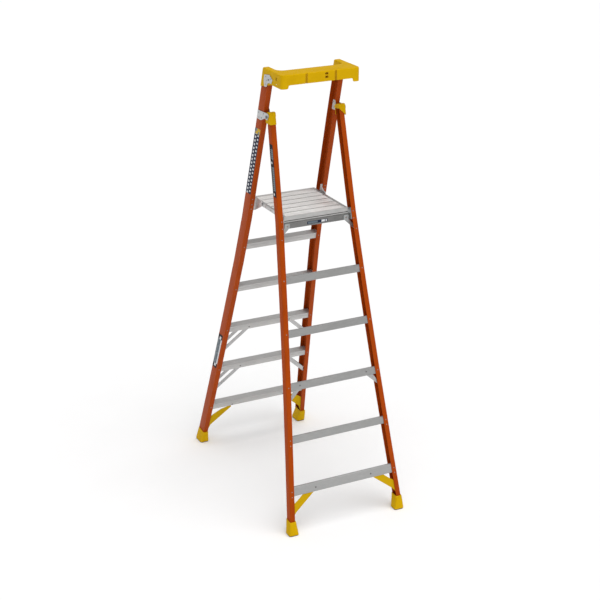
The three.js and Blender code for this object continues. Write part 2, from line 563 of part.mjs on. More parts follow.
// the last plank carries the rear nose, which rests on the support bar
function rearNose() {
  const y0 = DECK_JOINTS[DECK_JOINTS.length - 1] + GAP;
  const foot = SUPPORT.z1 + GAP;
  const nose = [
    [y0, DECK_TOP - 0.2], [DECK_REAR - 2, DECK_TOP - 0.2], [DECK_REAR, DECK_TOP - 2], [DECK_REAR, foot],
    [y0 + 2.2, foot], [y0 + 2.2, DECK_TOP - 4], [y0, DECK_TOP - 4],
  ];
  const neck = [[y0 - 2, DECK_TOP - 7.5], [y0 + 3, DECK_TOP - 7.5], [y0 + 3, DECK_TOP - 3], [y0 + 0.4, DECK_TOP - 3], [y0 - 2, DECK_TOP - 5.4]];
  return [alongX(nose, -DECK_HALF, DECK_HALF), alongX(neck, -(DECK_HALF - 3.3), DECK_HALF - 3.3)];
}
DECK_JOINTS.slice(0, -1).forEach((y, i) => {
  let g = alongX(plankProfile(y + GAP / 2, DECK_JOINTS[i + 1] - GAP / 2), -(DECK_HALF - 3.3), DECK_HALF - 3.3);
  if (i === 0) g = join(g, ...frontNose());
  if (i === DECK_JOINTS.length - 2) g = join(g, ...rearNose());
  add(platform, `platform_plank_${i + 1}`, g, deckAluminium);
});
for (const [name, s] of SIDES) {
  const y0 = DECK_JOINTS[0], y1 = DECK_JOINTS[DECK_JOINTS.length - 1];
  const low = DECK_TOP - DECK_THICK;
  const profile = mirrorX([
    [DECK_HALF, low], [DECK_HALF, DECK_TOP - 1], [DECK_HALF - 1, DECK_TOP], [DECK_HALF - 14, DECK_TOP],
    [DECK_HALF - 14, DECK_TOP - 2.5], [DECK_HALF - 3, DECK_TOP - 2.5], [DECK_HALF - 3, low + 2.5], [DECK_HALF - 14, low + 2.5], [DECK_HALF - 14, low],
  ], s);
  const g = sweep(profile, X, Z, Y, y0, y1);
  add(platform, `platform_side_bar_${name}`, cut(g, rod(BOLT_R + BOLT_FIT, s > 0 ? 195 : -215, s > 0 ? 215 : -195, ...DECK_PIVOT)), aluminium);

  // pivot bracket on the climbing rail: a leg behind the flange and a plate with an ear
  const x0 = 209.8, x1 = 212.8, ear = s > 0 ? 1846 : 1868;
  const n = -(CLIMB_WALL + GAP);
  const legY = (z) => climbY(z) + n / Math.cos(climbAngle);
  const plate = alongX(
    [[legY(1757) - 3.2, 1757], ...arc(...DECK_PIVOT, 20, -75, 110, 10), [legY(ear) - 3.2, ear]],
    s > 0 ? x0 : -x1, s > 0 ? x1 : -x0);
  const leg = sweep(
    mirrorX([[x0, CLIMB.along(1757)], [246, CLIMB.along(1757)], [246, CLIMB.along(ear)], [x0, CLIMB.along(ear)]], s),
    X, CLIMB.u, CLIMB.n, n - 3, n, CLIMB.o);
  morph(leg, (p) => { if (Math.abs(p.x) > 240) p.x = s * (climbHalf(p.z) - CLIMB_WEB - GAP); });
  const pin = bolt(s, 203.2, 0, 211, 215.9, BOLT_R, 8, ...DECK_PIVOT);
  add(climbingFrame, `platform_bracket_${name}`, join(plate, leg, pin), zinc);
}

// ---------------------------------------------------------------- support bar
{
  const { y0, y1, z0, z1 } = SUPPORT, t = 2.4;
  const pts = [
    [y1, z0 + 1], [y1, z0 + 8], [y1 - 0.8, z0 + 9], [y1 - 0.8, z1 - 9], [y1, z1 - 8], [y1, z1 - 1], [y1 - 1, z1],
    [y0, z1], [y0, z1 - t], [y1 - t - 0.8, z1 - t], [y1 - t - 0.8, z0 + t], [y0, z0 + t], [y0, z0], [y1 - 1, z0],
  ];
  add(rearFrame, "platform_support_bar", alongX(pts, -215.9, 215.9), aluminium);
}
for (const [name, s] of SIDES) {
  const a = -(REAR_WALL + GAP), b = -REAR_DEPTH + REAR_WALL + GAP, t = 2.5;
  const u = mirrorX([
    [216.2, a], [243, a], [243, a - t], [219.2, a - t], [219.2, b + t], [243, b + t], [243, b], [216.2, b],
  ], s);
  const g = sweep(u, X, REAR.n, REAR.u, REAR.along(1757, -25), REAR.along(1822, -25), REAR.o);
  add(rearFrame, `support_bracket_${name}`, g, zinc);
  const y0 = SUPPORT.y1 + GAP, y1 = y0 + 2.5;
  const pts = mirrorX([[178, 1786], [174, 1782], [174, 1762], [179, 1757], [240, 1699], [300, 1699], [300, 1712], [253, 1712], [208, 1758], [208, 1782], [204, 1786]], s);
  const strut = sweep(pts, X, Z, Y, y0, y1);
  morph(strut, (p) => { const m = rearHalf(p.z) - REAR_WEB - GAP; if (Math.abs(p.x) > m) p.x = s * m; });
  add(rearFrame, `support_strut_${name}`, strut, zinc);
}

export default ladder;
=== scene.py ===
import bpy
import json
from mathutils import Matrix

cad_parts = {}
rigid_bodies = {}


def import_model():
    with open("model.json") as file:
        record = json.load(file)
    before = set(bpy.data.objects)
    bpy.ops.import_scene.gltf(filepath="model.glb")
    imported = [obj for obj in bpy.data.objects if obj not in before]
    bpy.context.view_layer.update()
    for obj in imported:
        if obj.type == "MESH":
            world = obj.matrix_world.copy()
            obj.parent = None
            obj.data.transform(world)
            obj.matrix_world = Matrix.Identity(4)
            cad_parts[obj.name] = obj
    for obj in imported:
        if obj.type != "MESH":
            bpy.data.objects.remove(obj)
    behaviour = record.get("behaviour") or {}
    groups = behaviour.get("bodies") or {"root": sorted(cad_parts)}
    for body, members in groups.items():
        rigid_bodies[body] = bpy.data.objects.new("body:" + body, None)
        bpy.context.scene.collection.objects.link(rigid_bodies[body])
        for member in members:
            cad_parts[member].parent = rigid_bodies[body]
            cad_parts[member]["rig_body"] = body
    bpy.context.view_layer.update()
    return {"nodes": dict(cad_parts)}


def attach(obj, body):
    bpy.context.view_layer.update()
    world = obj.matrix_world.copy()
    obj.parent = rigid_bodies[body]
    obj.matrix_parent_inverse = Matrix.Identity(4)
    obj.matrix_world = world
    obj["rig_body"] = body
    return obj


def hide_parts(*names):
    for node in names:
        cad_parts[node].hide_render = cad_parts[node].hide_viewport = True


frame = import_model()

import json
import math
import bmesh
import bpy
import numpy as np
from mathutils import Matrix, Vector

D = bpy.data
scene = bpy.context.scene
MM = 0.001

# ------------------------------------------------------------------ the frames of the ladder, in millimetres
CLIMB_Y0, CLIMB_SLOPE, CLIMB_DEPTH, CLIMB_FLANGE = -636.3, 0.307, 77.0, 30.5
REAR_Y0, REAR_SLOPE, REAR_DEPTH, REAR_FLANGE = 719.6, 0.229, 50.0, 30.0
CLIMB_HALF = ([0, 450, 900, 1400, 1700, 2300, 2700], [380, 342.3, 308, 272.5, 257, 244.3, 239])
REAR_HALF = ([0, 450, 900, 1350, 1800, 2430], [380, 342.8, 307.8, 277.5, 250.5, 232.5])
HINGE = (145.4, 2385.0)
DECK_PIVOT = (-24.0, 1820.0)


def ch(z):
    return float(np.interp(z, *CLIMB_HALF))


def rh(z):
    return float(np.interp(z, *REAR_HALF))


ca, ra = math.atan(CLIMB_SLOPE), math.atan(REAR_SLOPE)
CLIMB_N = Vector((0, math.cos(ca), -math.sin(ca)))
CLIMB_U = Vector((0, math.sin(ca), math.cos(ca)))
REAR_N = Vector((0, math.cos(ra), math.sin(ra)))
REAR_U = Vector((0, -math.sin(ra), math.cos(ra)))


def climb_at(x, z, n=0.0):
    """a point on the climbing frame's rear plane at height z, moved n mm square to it"""
    return Vector((x, CLIMB_Y0 + CLIMB_SLOPE * z, z)) + CLIMB_N * n


def rear_at(x, z, n=0.0):
    return Vector((x, REAR_Y0 - REAR_SLOPE * z, z)) + REAR_N * n


# ------------------------------------------------------------------ material helpers
class Nodes:
    def __init__(self, name):
        self.mat = D.materials.new(name)
        self.mat.use_nodes = True
        self.nt = self.mat.node_tree
        self.nt.nodes.clear()
        self.out = self.nt.nodes.new("ShaderNodeOutputMaterial")
        self.bsdf = self.nt.nodes.new("ShaderNodeBsdfPrincipled")
        self.link(self.bsdf, "BSDF", self.out, "Surface")
        self.co = self.nt.nodes.new("ShaderNodeTexCoord")

    def link(self, a, ao, b, bi):
        self.nt.links.new(a.outputs[ao], b.inputs[bi])

    def node(self, kind, **values):
        n = self.nt.nodes.new(kind)
        for k, v in values.items():
            if hasattr(n, k):
                setattr(n, k, v)
            else:
                n.inputs[k.replace("_", " ")].default_value = v
        return n

    def mapping(self, scale=(1, 1, 1), rotation=(0, 0, 0), location=(0, 0, 0)):
        m = self.nt.nodes.new("ShaderNodeMapping")
        m.inputs["Scale"].default_value = scale
        m.inputs["Rotation"].default_value = rotation
        m.inputs["Location"].default_value = location
        self.link(self.co, "Object", m, "Vector")
        return m

    def noise(self, mapping, scale, detail=3.0, rough=0.5, distortion=0.0):
        n = self.nt.nodes.new("ShaderNodeTexNoise")
        n.inputs["Scale"].default_value = scale
        n.inputs["Detail"].default_value = detail
        n.inputs["Roughness"].default_value = rough
        n.inputs["Distortion"].default_value = distortion
        if mapping is None:
            self.link(self.co, "Object", n, "Vector")
        else:
            self.link(mapping, "Vector", n, "Vector")
        return n

    def ramp(self, src, out, stops):
        r = self.nt.nodes.new("ShaderNodeValToRGB")
        els = r.color_ramp.elements
        while len(els) < len(stops):
            els.new(0.5)
        for e, (p, c) in zip(els, stops):
            e.position = p
            e.color = (c, c, c, 1) if isinstance(c, (int, float)) else (*c, 1)
        self.link(src, out, r, "Fac")
        return r

    def mix(self, fac, a, b, mode="MIX"):
        m = self.nt.nodes.new("ShaderNodeMix")
        m.data_type = "RGBA"
        m.blend_type = mode
        ins = {i.identifier: i for i in m.inputs}
        for key, v in (("Factor_Float", fac), ("A_Color", a), ("B_Color", b)):
            if isinstance(v, tuple) and not isinstance(v[0], (int, float)):
                self.nt.links.new(v[0].outputs[v[1]], ins[key])
            else:
                ins[key].default_value = (*v, 1) if isinstance(v, tuple) else v
        self.result = [o for o in m.outputs if o.identifier == "Result_Color"][0]
        return m

    def mixed(self, m):
        return [o for o in m.outputs if o.identifier == "Result_Color"][0]

    def math(self, op, a, b=None, clamp=False):
        m = self.nt.nodes.new("ShaderNodeMath")
        m.operation = op
        m.use_clamp = clamp
        for i, v in enumerate((a, b)):
            if v is None:
                continue
            if isinstance(v, (int, float)):
                m.inputs[i].default_value = v
            else:
                self.nt.links.new(v[0].outputs[v[1]] if isinstance(v, tuple) else v, m.inputs[i])
        return m

    def edges(self, radius=0.0012, lo=0.02, hi=0.35):
        """1 along convex and concave edges, 0 on the faces"""
        bev = self.nt.nodes.new("ShaderNodeBevel")
        bev.samples = 4
        bev.inputs["Radius"].default_value = radius
        geo = self.nt.nodes.new("ShaderNodeNewGeometry")
        dot = self.nt.nodes.new("ShaderNodeVectorMath")
        dot.operation = "DOT_PRODUCT"
        self.link(bev, "Normal", dot, 0)
        self.nt.links.new(geo.outputs["True Normal"], dot.inputs[1])
        inv = self.math("SUBTRACT", 1.0, (dot, "Value"))
        return self.ramp(inv, "Value", [(lo, 0.0), (hi, 1.0)])

    def bump(self, src, out, strength, distance):
        b = self.nt.nodes.new("ShaderNodeBump")
        b.inputs["Strength"].default_value = strength
        b.inputs["Distance"].default_value = distance
        self.link(src, out, b, "Height")
        return b


def set_in(bsdf, **kw):
    for k, v in kw.items():
        bsdf.inputs[k.replace("_", " ")].default_value = v


def fibreglass(name, lean, seed, dim, spec):
    """pultruded glass fibre: long fibre streaks under a satin resin skin, scuffed along its edges"""
    m = Nodes(name)
    along = m.mapping(scale=(1.0, 1.0, 0.012), rotation=(lean, 0, 0), location=(seed, seed * 0.7, 0))
    streak = m.noise(along, 1400.0, 3.0, 0.65)
    broad = m.noise(m.mapping(scale=(1, 1, 0.12), rotation=(lean, 0, 0), location=(seed, 0, seed)), 26.0, 4.0, 0.6)
    veil = m.noise(m.mapping(location=(0, seed, 0)), 210.0, 5.0, 0.7, 0.6)
    tone = m.ramp(broad, "Fac", [(0.25, (0.385 * dim, 0.053 * dim, 0.0022)), (0.75, (0.475 * dim, 0.072 * dim, 0.0036))])
    fibre = m.ramp(streak, "Fac", [(0.36, (0.80, 0.80, 0.80)), (0.64, (1.12, 1.12, 1.12))])
    a = m.mix(0.55, (tone, "Color"), (fibre, "Color"), "MULTIPLY")
    speck = m.ramp(veil, "Fac", [(0.58, 0.0), (0.75, 0.45)])
    b = m.mix((speck, "Color"), (0, 0, 0), (0.52, 0.125, 0.018))
    m.nt.links.new(m.mixed(a), [i for i in b.inputs if i.identifier == "A_Color"][0])
    edge = m.edges(0.0016, 0.03, 0.5)
    wear = m.noise(None, 60.0, 4.0, 0.7)
    worn = m.math("MULTIPLY", (edge, "Color"), (m.ramp(wear, "Fac", [(0.5, 0.0), (0.68, 0.7)]), "Color"))
    c = m.mix((worn, "Value"), (0, 0, 0), (0.58, 0.21, 0.07))
    m.nt.links.new(m.mixed(b), [i for i in c.inputs if i.identifier == "A_Color"][0])
    m.nt.links.new(m.mixed(c), m.bsdf.inputs["Base Color"])
    rough = m.ramp(veil, "Fac", [(0.3, 0.40), (0.7, 0.56)])
    m.link(rough, "Color", m.bsdf, "Roughness")
    h = m.math("ADD", (streak, "Fac"), m.math("MULTIPLY", (veil, "Fac"), 0.6).outputs[0])
    bp = m.bump(h, "Value", 0.28, 0.00035)
    m.link(bp, "Normal", m.bsdf, "Normal")
    set_in(m.bsdf, IOR=1.5, Specular_IOR_Level=spec)
    return m.mat


def metal(name, base, grain, rough=(0.34, 0.5), tint=0.10, lean=0.0, anis=0.45, bump=0.16, metallic=1.0, smudge=0.35):
    """extruded or pressed metal: drawn grain along one axis, dull patches, bright worn edges"""
    m = Nodes(name)
    sc = {"X": (0.012, 1, 1), "Y": (1, 0.012, 1), "Z": (1, 1, 0.012)}[grain]
    g = m.noise(m.mapping(scale=sc, rotation=(lean, 0, 0)), 1700.0, 3.0, 0.6)
    g2 = m.noise(m.mapping(scale=tuple(0.25 if s < 1 else 1 for s in sc), rotation=(lean, 0, 0)), 90.0, 4.0, 0.65)
    patch = m.noise(None, 9.0, 5.0, 0.62)
    lo = tuple(c * (1 - tint) for c in base)
    hi = tuple(min(1.0, c * (1 + tint)) for c in base)
    tone = m.ramp(patch, "Fac", [(0.32, lo), (0.68, hi)])
    fine = m.ramp(g, "Fac", [(0.3, (0.86, 0.86, 0.86)), (0.7, (1.08, 1.08, 1.08))])
    a = m.mix(0.7, (tone, "Color"), (fine, "Color"), "MULTIPLY")
    dirt = m.ramp(g2, "Fac", [(0.50, 0.0), (0.72, smudge)])
    b = m.mix((dirt, "Color"), (0, 0, 0), tuple(c * 0.72 for c in base))
    m.nt.links.new(m.mixed(a), [i for i in b.inputs if i.identifier == "A_Color"][0])
    edge = m.edges(0.0009, 0.03, 0.45)
    c = m.mix((m.math("MULTIPLY", (edge, "Color"), 0.55), "Value"), (0, 0, 0), tuple(min(1, x * 1.45) for x in base))
    m.nt.links.new(m.mixed(b), [i for i in c.inputs if i.identifier == "A_Color"][0])
    m.nt.links.new(m.mixed(c), m.bsdf.inputs["Base Color"])
    r = m.ramp(g2, "Fac", [(0.3, rough[0]), (0.7, rough[1])])
    m.link(r, "Color", m.bsdf, "Roughness")
    h = m.math("ADD", (g, "Fac"), m.math("MULTIPLY", (g2, "Fac"), 0.5).outputs[0])
    m.link(m.bump(h, "Value", bump, 0.0002), "Normal", m.bsdf, "Normal")
    set_in(m.bsdf, Metallic=metallic, Anisotropic=anis)
    return m.mat


def plastic(name, base, dark, scale=900.0, rough=(0.42, 0.58), wear=(0.82, 0.66, 0.30)):
    """moulded plastic: spark-eroded skin, faint flow marks, paler scuffs on the edges"""
    m = Nodes(name)
    skin = m.noise(None, scale, 4.0, 0.6)
    flow = m.noise(m.mapping(scale=(0.5, 1, 1)), 14.0, 5.0, 0.6, 1.2)
    tone = m.ramp(flow, "Fac", [(0.3, dark), (0.7, base)])
    grime = m.noise(None, 45.0, 6.0, 0.7)
    g = m.ramp(grime, "Fac", [(0.60, 0.0), (0.82, 0.35)])
    a = m.mix((g, "Color"), (tone, "Color"), tuple(c * 0.45 for c in base))
    edge = m.edges(0.0014, 0.03, 0.5)
    scuff = m.math("MULTIPLY", (edge, "Color"), (m.ramp(grime, "Fac", [(0.40, 0.15), (0.62, 0.8)]), "Color"))
    c = m.mix((scuff, "Value"), (0, 0, 0), wear)
    m.nt.links.new(m.mixed(a), [i for i in c.inputs if i.identifier == "A_Color"][0])
    m.nt.links.new(m.mixed(c), m.bsdf.inputs["Base Color"])
    m.link(m.ramp(grime, "Fac", [(0.3, rough[0]), (0.7, rough[1])]), "Color", m.bsdf, "Roughness")
    m.link(m.bump(skin, "Fac", 0.22, 0.00025), "Normal", m.bsdf, "Normal")
    set_in(m.bsdf, IOR=1.46, Specular_IOR_Level=0.04)
    return m.mat


def rubber_mat():
    m = Nodes("rubber_sole")
    n = m.noise(None, 700.0, 5.0, 0.65)
    d = m.noise(None, 38.0, 5.0, 0.7)
    m.link(m.ramp(d, "Fac", [(0.35, (0.014, 0.014, 0.015)), (0.75, (0.055, 0.053, 0.05))]), "Color", m.bsdf, "Base Color")
    m.link(m.ramp(n, "Fac", [(0.3, 0.7), (0.7, 0.92)]), "Color", m.bsdf, "Roughness")
    m.link(m.bump(n, "Fac", 0.5, 0.0004), "Normal", m.bsdf, "Normal")
    return m.mat


def print_mat(name, base):
    """printed film: slightly mottled ink under a satin laminate, rubbed through in spots"""
    m = Nodes(name)
    n = m.noise(None, 160.0, 5.0, 0.7)
    rub = m.noise(None, 55.0, 6.0, 0.75)
    tone = m.ramp(n, "Fac", [(0.3, tuple(c * 0.86 for c in base)), (0.7, tuple(min(1.0, c * 1.1) for c in base))])
    a = m.mix((m.ramp(rub, "Fac", [(0.66, 0.0), (0.80, 0.35)]), "Color"), (tone, "Color"), (0.42, 0.30, 0.22))
    m.nt.links.new(m.mixed(a), m.bsdf.inputs["Base Color"])
    m.link(m.ramp(n, "Fac", [(0.3, 0.38), (0.7, 0.52)]), "Color", m.bsdf, "Roughness")
    m.link(m.bump(rub, "Fac", 0.15, 0.0002), "Normal", m.bsdf, "Normal")
    set_in(m.bsdf, IOR=1.46, Specular_IOR_Level=0.05)
    return m.mat


MAT = {
    "climb_rail": fibreglass("fibreglass_climbing", -ca, 0.0, 0.90, 0.09),
    "rear_rail": fibreglass("fibreglass_rear", ra, 3.7, 0.91, 0.04),
    "step": metal("step_extrusion", (0.54, 0.535, 0.525), "X", tint=0.04, metallic=0.5, smudge=0.14),
    "bar": metal("horizontal_extrusion", (0.34, 0.34, 0.335), "X", lean=ra, tint=0.03, smudge=0.10, metallic=0.6),
    # bar_mid and bar_low: copies of the bar tone made lighter for the lower horizontals, painted light from the floor
    # below
    "bar_mid": metal("horizontal_extrusion_mid_painted_light", (0.37, 0.37, 0.365), "X", lean=ra, tint=0.03, smudge=0.09, metallic=0.55),
    "bar_low": metal("horizontal_extrusion_low_painted_light", (0.41, 0.41, 0.405), "X", lean=ra, tint=0.03, smudge=0.08, metallic=0.5),
    "deck": metal("deck_extrusion", (0.73, 0.72, 0.705), "X", rough=(0.36, 0.5), tint=0.06, metallic=0.75),
    # nose: the deck tone made darker for the rear-facing nose of the last plank, painted shade
    "nose": metal("deck_nose_painted_shade", (0.50, 0.495, 0.485), "X", rough=(0.36, 0.5), tint=0.06, metallic=0.75),
    # groove: a dark tone on the faces down in the plank joints and in the nose groove, painted shade for these recesses
    "groove": metal("deck_joint_painted_shade", (0.10, 0.098, 0.095), "X", rough=(0.55, 0.75), metallic=0.3),
    "side": metal("side_bar_extrusion", (0.60, 0.60, 0.595), "Y"),
    "strap": metal("strap_strip", (0.52, 0.52, 0.52), "Z", rough=(0.36, 0.52)),
    "zinc_pale": metal("zinc_bracket", (0.62, 0.60, 0.59), "Z", rough=(0.34, 0.5), anis=0.1, bump=0.1, metallic=0.7),
    "zinc_dull": metal("zinc_support", (0.37, 0.38, 0.38), "Z", rough=(0.36, 0.52), anis=0.1, bump=0.1, metallic=0.7),
    "zinc": metal("zinc_pressing", (0.49, 0.50, 0.505), "Z", rough=(0.30, 0.46), anis=0.1, bump=0.1, metallic=0.8),
    "bolt": metal("bolt_steel", (0.22, 0.23, 0.25), "Z", rough=(0.28, 0.42), anis=0.0, bump=0.1, metallic=0.9),
    "plate_dull": metal("inner_plate_steel", (0.46, 0.42, 0.40), "Z", rough=(0.40, 0.56), anis=0.1, bump=0.1, metallic=0.8),
    # support: the bar's tone made darker, painted shade for the deck nose overhanging it
    "support": metal("support_extrusion_painted_shade", (0.225, 0.225, 0.22), "X", rough=(0.4, 0.55), tint=0.05),
    "rivet": metal("rivet_aluminium", (0.34, 0.27, 0.24), "Z", rough=(0.3, 0.45), anis=0.0, bump=0.1),
    "rivet_plate": metal("rivet_plated", (0.30, 0.31, 0.32), "Z", rough=(0.3, 0.45), anis=0.0, bump=0.1),
    "rivet_dark": metal("rivet_steel_dull", (0.20, 0.19, 0.19), "Z", rough=(0.4, 0.55), anis=0.0, bump=0.1),
    "yellow": plastic("moulded_yellow", (0.66, 0.395, 0.002), (0.60, 0.355, 0.001)),
    # yellow_shade: a darker copy of the moulded yellow for the guardrail groove walls, painted shade
    "yellow_shade": plastic("moulded_yellow_painted_shade", (0.50, 0.27, 0.003), (0.42, 0.22, 0.002)),
    "yellow_metal": plastic("painted_yellow", (0.60, 0.37, 0.004), (0.53, 0.32, 0.003), scale=500.0, wear=(0.6, 0.55, 0.4)),
    "rubber": rubber_mat(),
    "ink_dark": print_mat("print_navy", (0.022, 0.028, 0.055)),
    "ink_black": print_mat("print_black", (0.018, 0.014, 0.020)),
    "ink_white": print_mat("print_white", (0.72, 0.73, 0.74)),
    "ink_grey": print_mat("print_grey", (0.22, 0.25, 0.27)),
    "ink_slate": print_mat("print_slate", (0.14, 0.17, 0.20)),
    "ink_yellow": print_mat("print_yellow", (0.62, 0.40, 0.04)),
}


def material_of(n):
    if n.startswith("climbing_rail"):
        return "climb_rail"
    if n.startswith("rear_rail_cap"):
        return "yellow"
    if n.startswith("rear_rail"):
        return "rear_rail"
    if "corner_brace" in n:
        return "yellow_metal"
    if "shoe" in n or n == "guardrail":
        return "yellow"
    if "pad" in n:
        return "rubber"
    if n.startswith("platform_plank"):
        return "deck"
    if n.startswith("platform_side"):
        return "side"
    if n == "platform_support_bar":
        return "support"
    # the two lowest horizontals take the lighter copies of the bar tone: painted light
    if n == "rear_horizontal_5":
        return "bar_low"
    if n == "rear_horizontal_4":
        return "bar_mid"
    if n.startswith("hinge_bolt"):
        return "bolt"
    if n.startswith("platform_bracket"):
        return "zinc_pale"
    if n.startswith(("support_bracket", "support_strut")):
        return "zinc_dull"
    if n.startswith(("hinge_", "guardrail_bracket", "platform_bracket", "support_")):
        return "zinc"
    if "strap" in n or "gusset" in n:
        return "strap"
    if n.startswith("rear_horizontal"):
        return "bar"
    return "step"


BODY = {n: o["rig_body"] for n, o in frame["nodes"].items()}
for n, o in frame["nodes"].items():
    o.data.materials.clear()
    o.data.materials.append(MAT[material_of(n)])

# ------------------------------------------------------------------ mesh helpers
def finished(name, bm, mats, body, smooth=32.0, flat=False):
    """closes a bmesh in millimetres into an object in metres that rides on a body"""
    bmesh.ops.recalc_face_normals(bm, faces=bm.faces)
    for f in bm.faces:
        f.smooth = not flat
    me = D.meshes.new(name)
    bm.to_mesh(me)
    bm.free()
    me.transform(Matrix.Diagonal((MM, MM, MM, 1)))
    if not flat:
        me.set_sharp_from_angle(angle=math.radians(smooth))
    for m in ([mats] if isinstance(mats, str) else mats):
        me.materials.append(MAT[m])
    o = D.objects.new(name, me)
    scene.collection.objects.link(o)
    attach(o, body)
    return o


def fillet(points, segments=3):
    """rounds the corners of a closed outline; a point may be (a, b) or (a, b, radius)"""
    out = []
    n = len(points)
    for i, p in enumerate(points):
        r = p[2] if len(p) > 2 else 0
        if r <= 0:
            out.append((p[0], p[1]))
            continue
        c, a, b = Vector(p[:2]), Vector(points[i - 1][:2]), Vector(points[(i + 1) % n][:2])
        u, v = (a - c), (b - c)
        lu, lv = u.length, v.length
        u, v = u / lu, v / lv
        ang = u.angle(v)
        if ang > math.pi - 0.02:
            out.append((p[0], p[1]))
            continue
        t = min(r / math.tan(ang / 2), lu * 0.49, lv * 0.49)
        r = t * math.tan(ang / 2)
        mid = (u + v).normalized()
        o = c + mid * (r / math.sin(ang / 2))
        s, e = c + u * t - o, c + v * t - o
        for k in range(segments + 1):
            w = s.slerp(e, k / segments).normalized() * r if s.length > 1e-9 else s
            out.append(tuple(o + w))
    return out


def loft(bm, rings, cap=True, closed=True, mat=0):
    """quads between rings of points, with the first and last ring filled"""
    rows = [[bm.verts.new(p) for p in ring] for ring in rings]
    n = len(rows[0])
    for a, b in zip(rows, rows[1:]):
        for i in range(n if closed else n - 1):
            j = (i + 1) % n
            f = bm.faces.new((a[i], a[j], b[j], b[i]))
            f.material_index = mat
    if cap:
        bm.faces.new(list(reversed(rows[0]))).material_index = mat
        bm.faces.new(rows[-1]).material_index = mat
    return rows


def prism_x(bm, profile, x0, x1, inner=None, stations=None):
    """a (y, z) outline run along X; inner(z) gives how far out each height reaches"""
    st = stations or [-1.0, 1.0]
    rings = []
    for s in st:
        if inner:
            rings.append([Vector((s * inner(z), y, z)) for y, z in profile])
        else:
            x = x0 + (x1 - x0) * (s + 1) / 2
            rings.append([Vector((x, y, z)) for y, z in profile])
    loft(bm, rings)


def rounded(src, width, segments, angle, merge):
    bm = bmesh.new()
    bm.from_mesh(src.data)
    bmesh.ops.scale(bm, vec=(1000, 1000, 1000), verts=bm.verts)
    bmesh.ops.remove_doubles(bm, verts=bm.verts, dist=merge)
    bmesh.ops.dissolve_limit(bm, angle_limit=math.radians(0.4), verts=bm.verts, edges=bm.edges)
    sharp = [e for e in bm.edges if len(e.link_faces) == 2 and e.calc_face_angle(0) > math.radians(angle)]
    if width > 0:
        bmesh.ops.bevel(bm, geom=sharp, offset=width, offset_type="OFFSET", segments=segments, profile=0.5,
                        affect="EDGES", clamp_overlap=True, miter_outer="ARC")
        bmesh.ops.dissolve_degenerate(bm, dist=0.004, edges=bm.edges)
    return bm


def sound(bm):
    """closed, and with hardly any sliver faces"""
    slivers = sum(1 for f in bm.faces if f.calc_area() < 1e-4)
    return slivers < 4 and all(e.is_manifold for e in bm.edges)


def refine(node, width=0.6, segments=2, angle=32.0, mat=None, smooth=32.0):
    """the same piece with its edges rounded over"""
    src = frame["nodes"][node]
    for w, merge in ((width, 0.01), (width, 0.3), (width * 0.5, 0.3), (0, 0.01)):
        bm = rounded(src, w, segments, angle, merge)
        if sound(bm):
            break
        if w:
            bm.free()
    o = finished("shell_" + node, bm, mat or material_of(node), BODY[node], smooth=smooth)
    o.modifiers.new("normals", "WEIGHTED_NORMAL").keep_sharp = True
    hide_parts(node)
    return o


def lathe(bm, centre, axis, profile, sides=16, mat=0):
    """a turned solid: profile is (distance along axis, radius), starting and ending on the axis"""
    axis = Vector(axis).normalized()
    ref = Vector((0, 0, 1)) if abs(axis.z) < 0.9 else Vector((1, 0, 0))
    u = axis.cross(ref).normalized()
    v = axis.cross(u)
    c = Vector(centre)
    first = bm.verts.new(c + axis * profile[0][0])
    last = bm.verts.new(c + axis * profile[-1][0])
    rows = []
    for h, r in profile[1:-1]:
        rows.append([bm.verts.new(c + axis * h + (u * math.cos(t) + v * math.sin(t)) * r)
                     for t in (2 * math.pi * k / sides for k in range(sides))])
    for k in range(sides):
        j = (k + 1) % sides
        bm.faces.new((first, rows[0][j], rows[0][k])).material_index = mat
        for a, b in zip(rows, rows[1:]):
            bm.faces.new((a[k], a[j], b[j], b[k])).material_index = mat
        bm.faces.new((last, rows[-1][k], rows[-1][j])).material_index = mat


def rivet(bm, centre, axis, r=5.0, h=2.2, kind="dome", sides=16):
    if kind == "dome":
        prof = [(-0.4, 0), (-0.4, r * 0.98), (0.25, r), (0.45, r * 0.985), (h * 0.55, r * 0.80), (h * 0.85, r * 0.48), (h, r * 0.18), (h, 0)]
    elif kind == "pop":
        prof = [(-0.4, 0), (-0.4, r * 0.98), (0.3, r), (0.8, r * 0.93), (h * 0.9, r * 0.62), (h, r * 0.42), (h * 0.55, r * 0.34), (h * 0.5, 0)]
    else:
        prof = [(-0.4, 0), (-0.4, r), (h * 0.7, r), (h, r * 0.86), (h, 0)]
    lathe(bm, centre, axis, prof, sides)


def nut(bm, centre, axis, af=13.0, h=5.0):
    """a hexagon nut on a washer"""
    lathe(bm, centre, axis, [(-0.2, 0), (-0.2, af * 0.78), (1.2, af * 0.78), (1.5, af * 0.74), (1.5, 0)], 24)
    lathe(bm, Vector(centre) + Vector(axis).normalized() * 1.4, axis,
          [(0, 0), (0, af * 0.5), (0.6, af * 0.577), (h - 0.6, af * 0.577), (h, af * 0.5), (h, 0)], 6)


# ------------------------------------------------------------------ rails: pultruded channels
def carve(o, cb, angle=38.0):
    """takes the closed solids in cb out of a new piece"""
    bmesh.ops.recalc_face_normals(cb, faces=cb.faces)
    cm = D.meshes.new("cutter")
    cb.to_mesh(cm)
    cb.free()
    cm.transform(Matrix.Diagonal((MM, MM, MM, 1)))
    cutter = D.objects.new("cutter", cm)
    scene.collection.objects.link(cutter)
    mod = o.modifiers.new("openings", "BOOLEAN")
    mod.operation, mod.solver, mod.object = "DIFFERENCE", "EXACT", cutter
    mod.use_self = True
    bpy.context.view_layer.update()
    made = D.meshes.new_from_object(o.evaluated_get(bpy.context.evaluated_depsgraph_get()))
    o.modifiers.clear()
    o.data = made
    for p in made.polygons:
        p.use_smooth = True
    made.set_sharp_from_angle(angle=math.radians(angle))
    D.objects.remove(cutter)


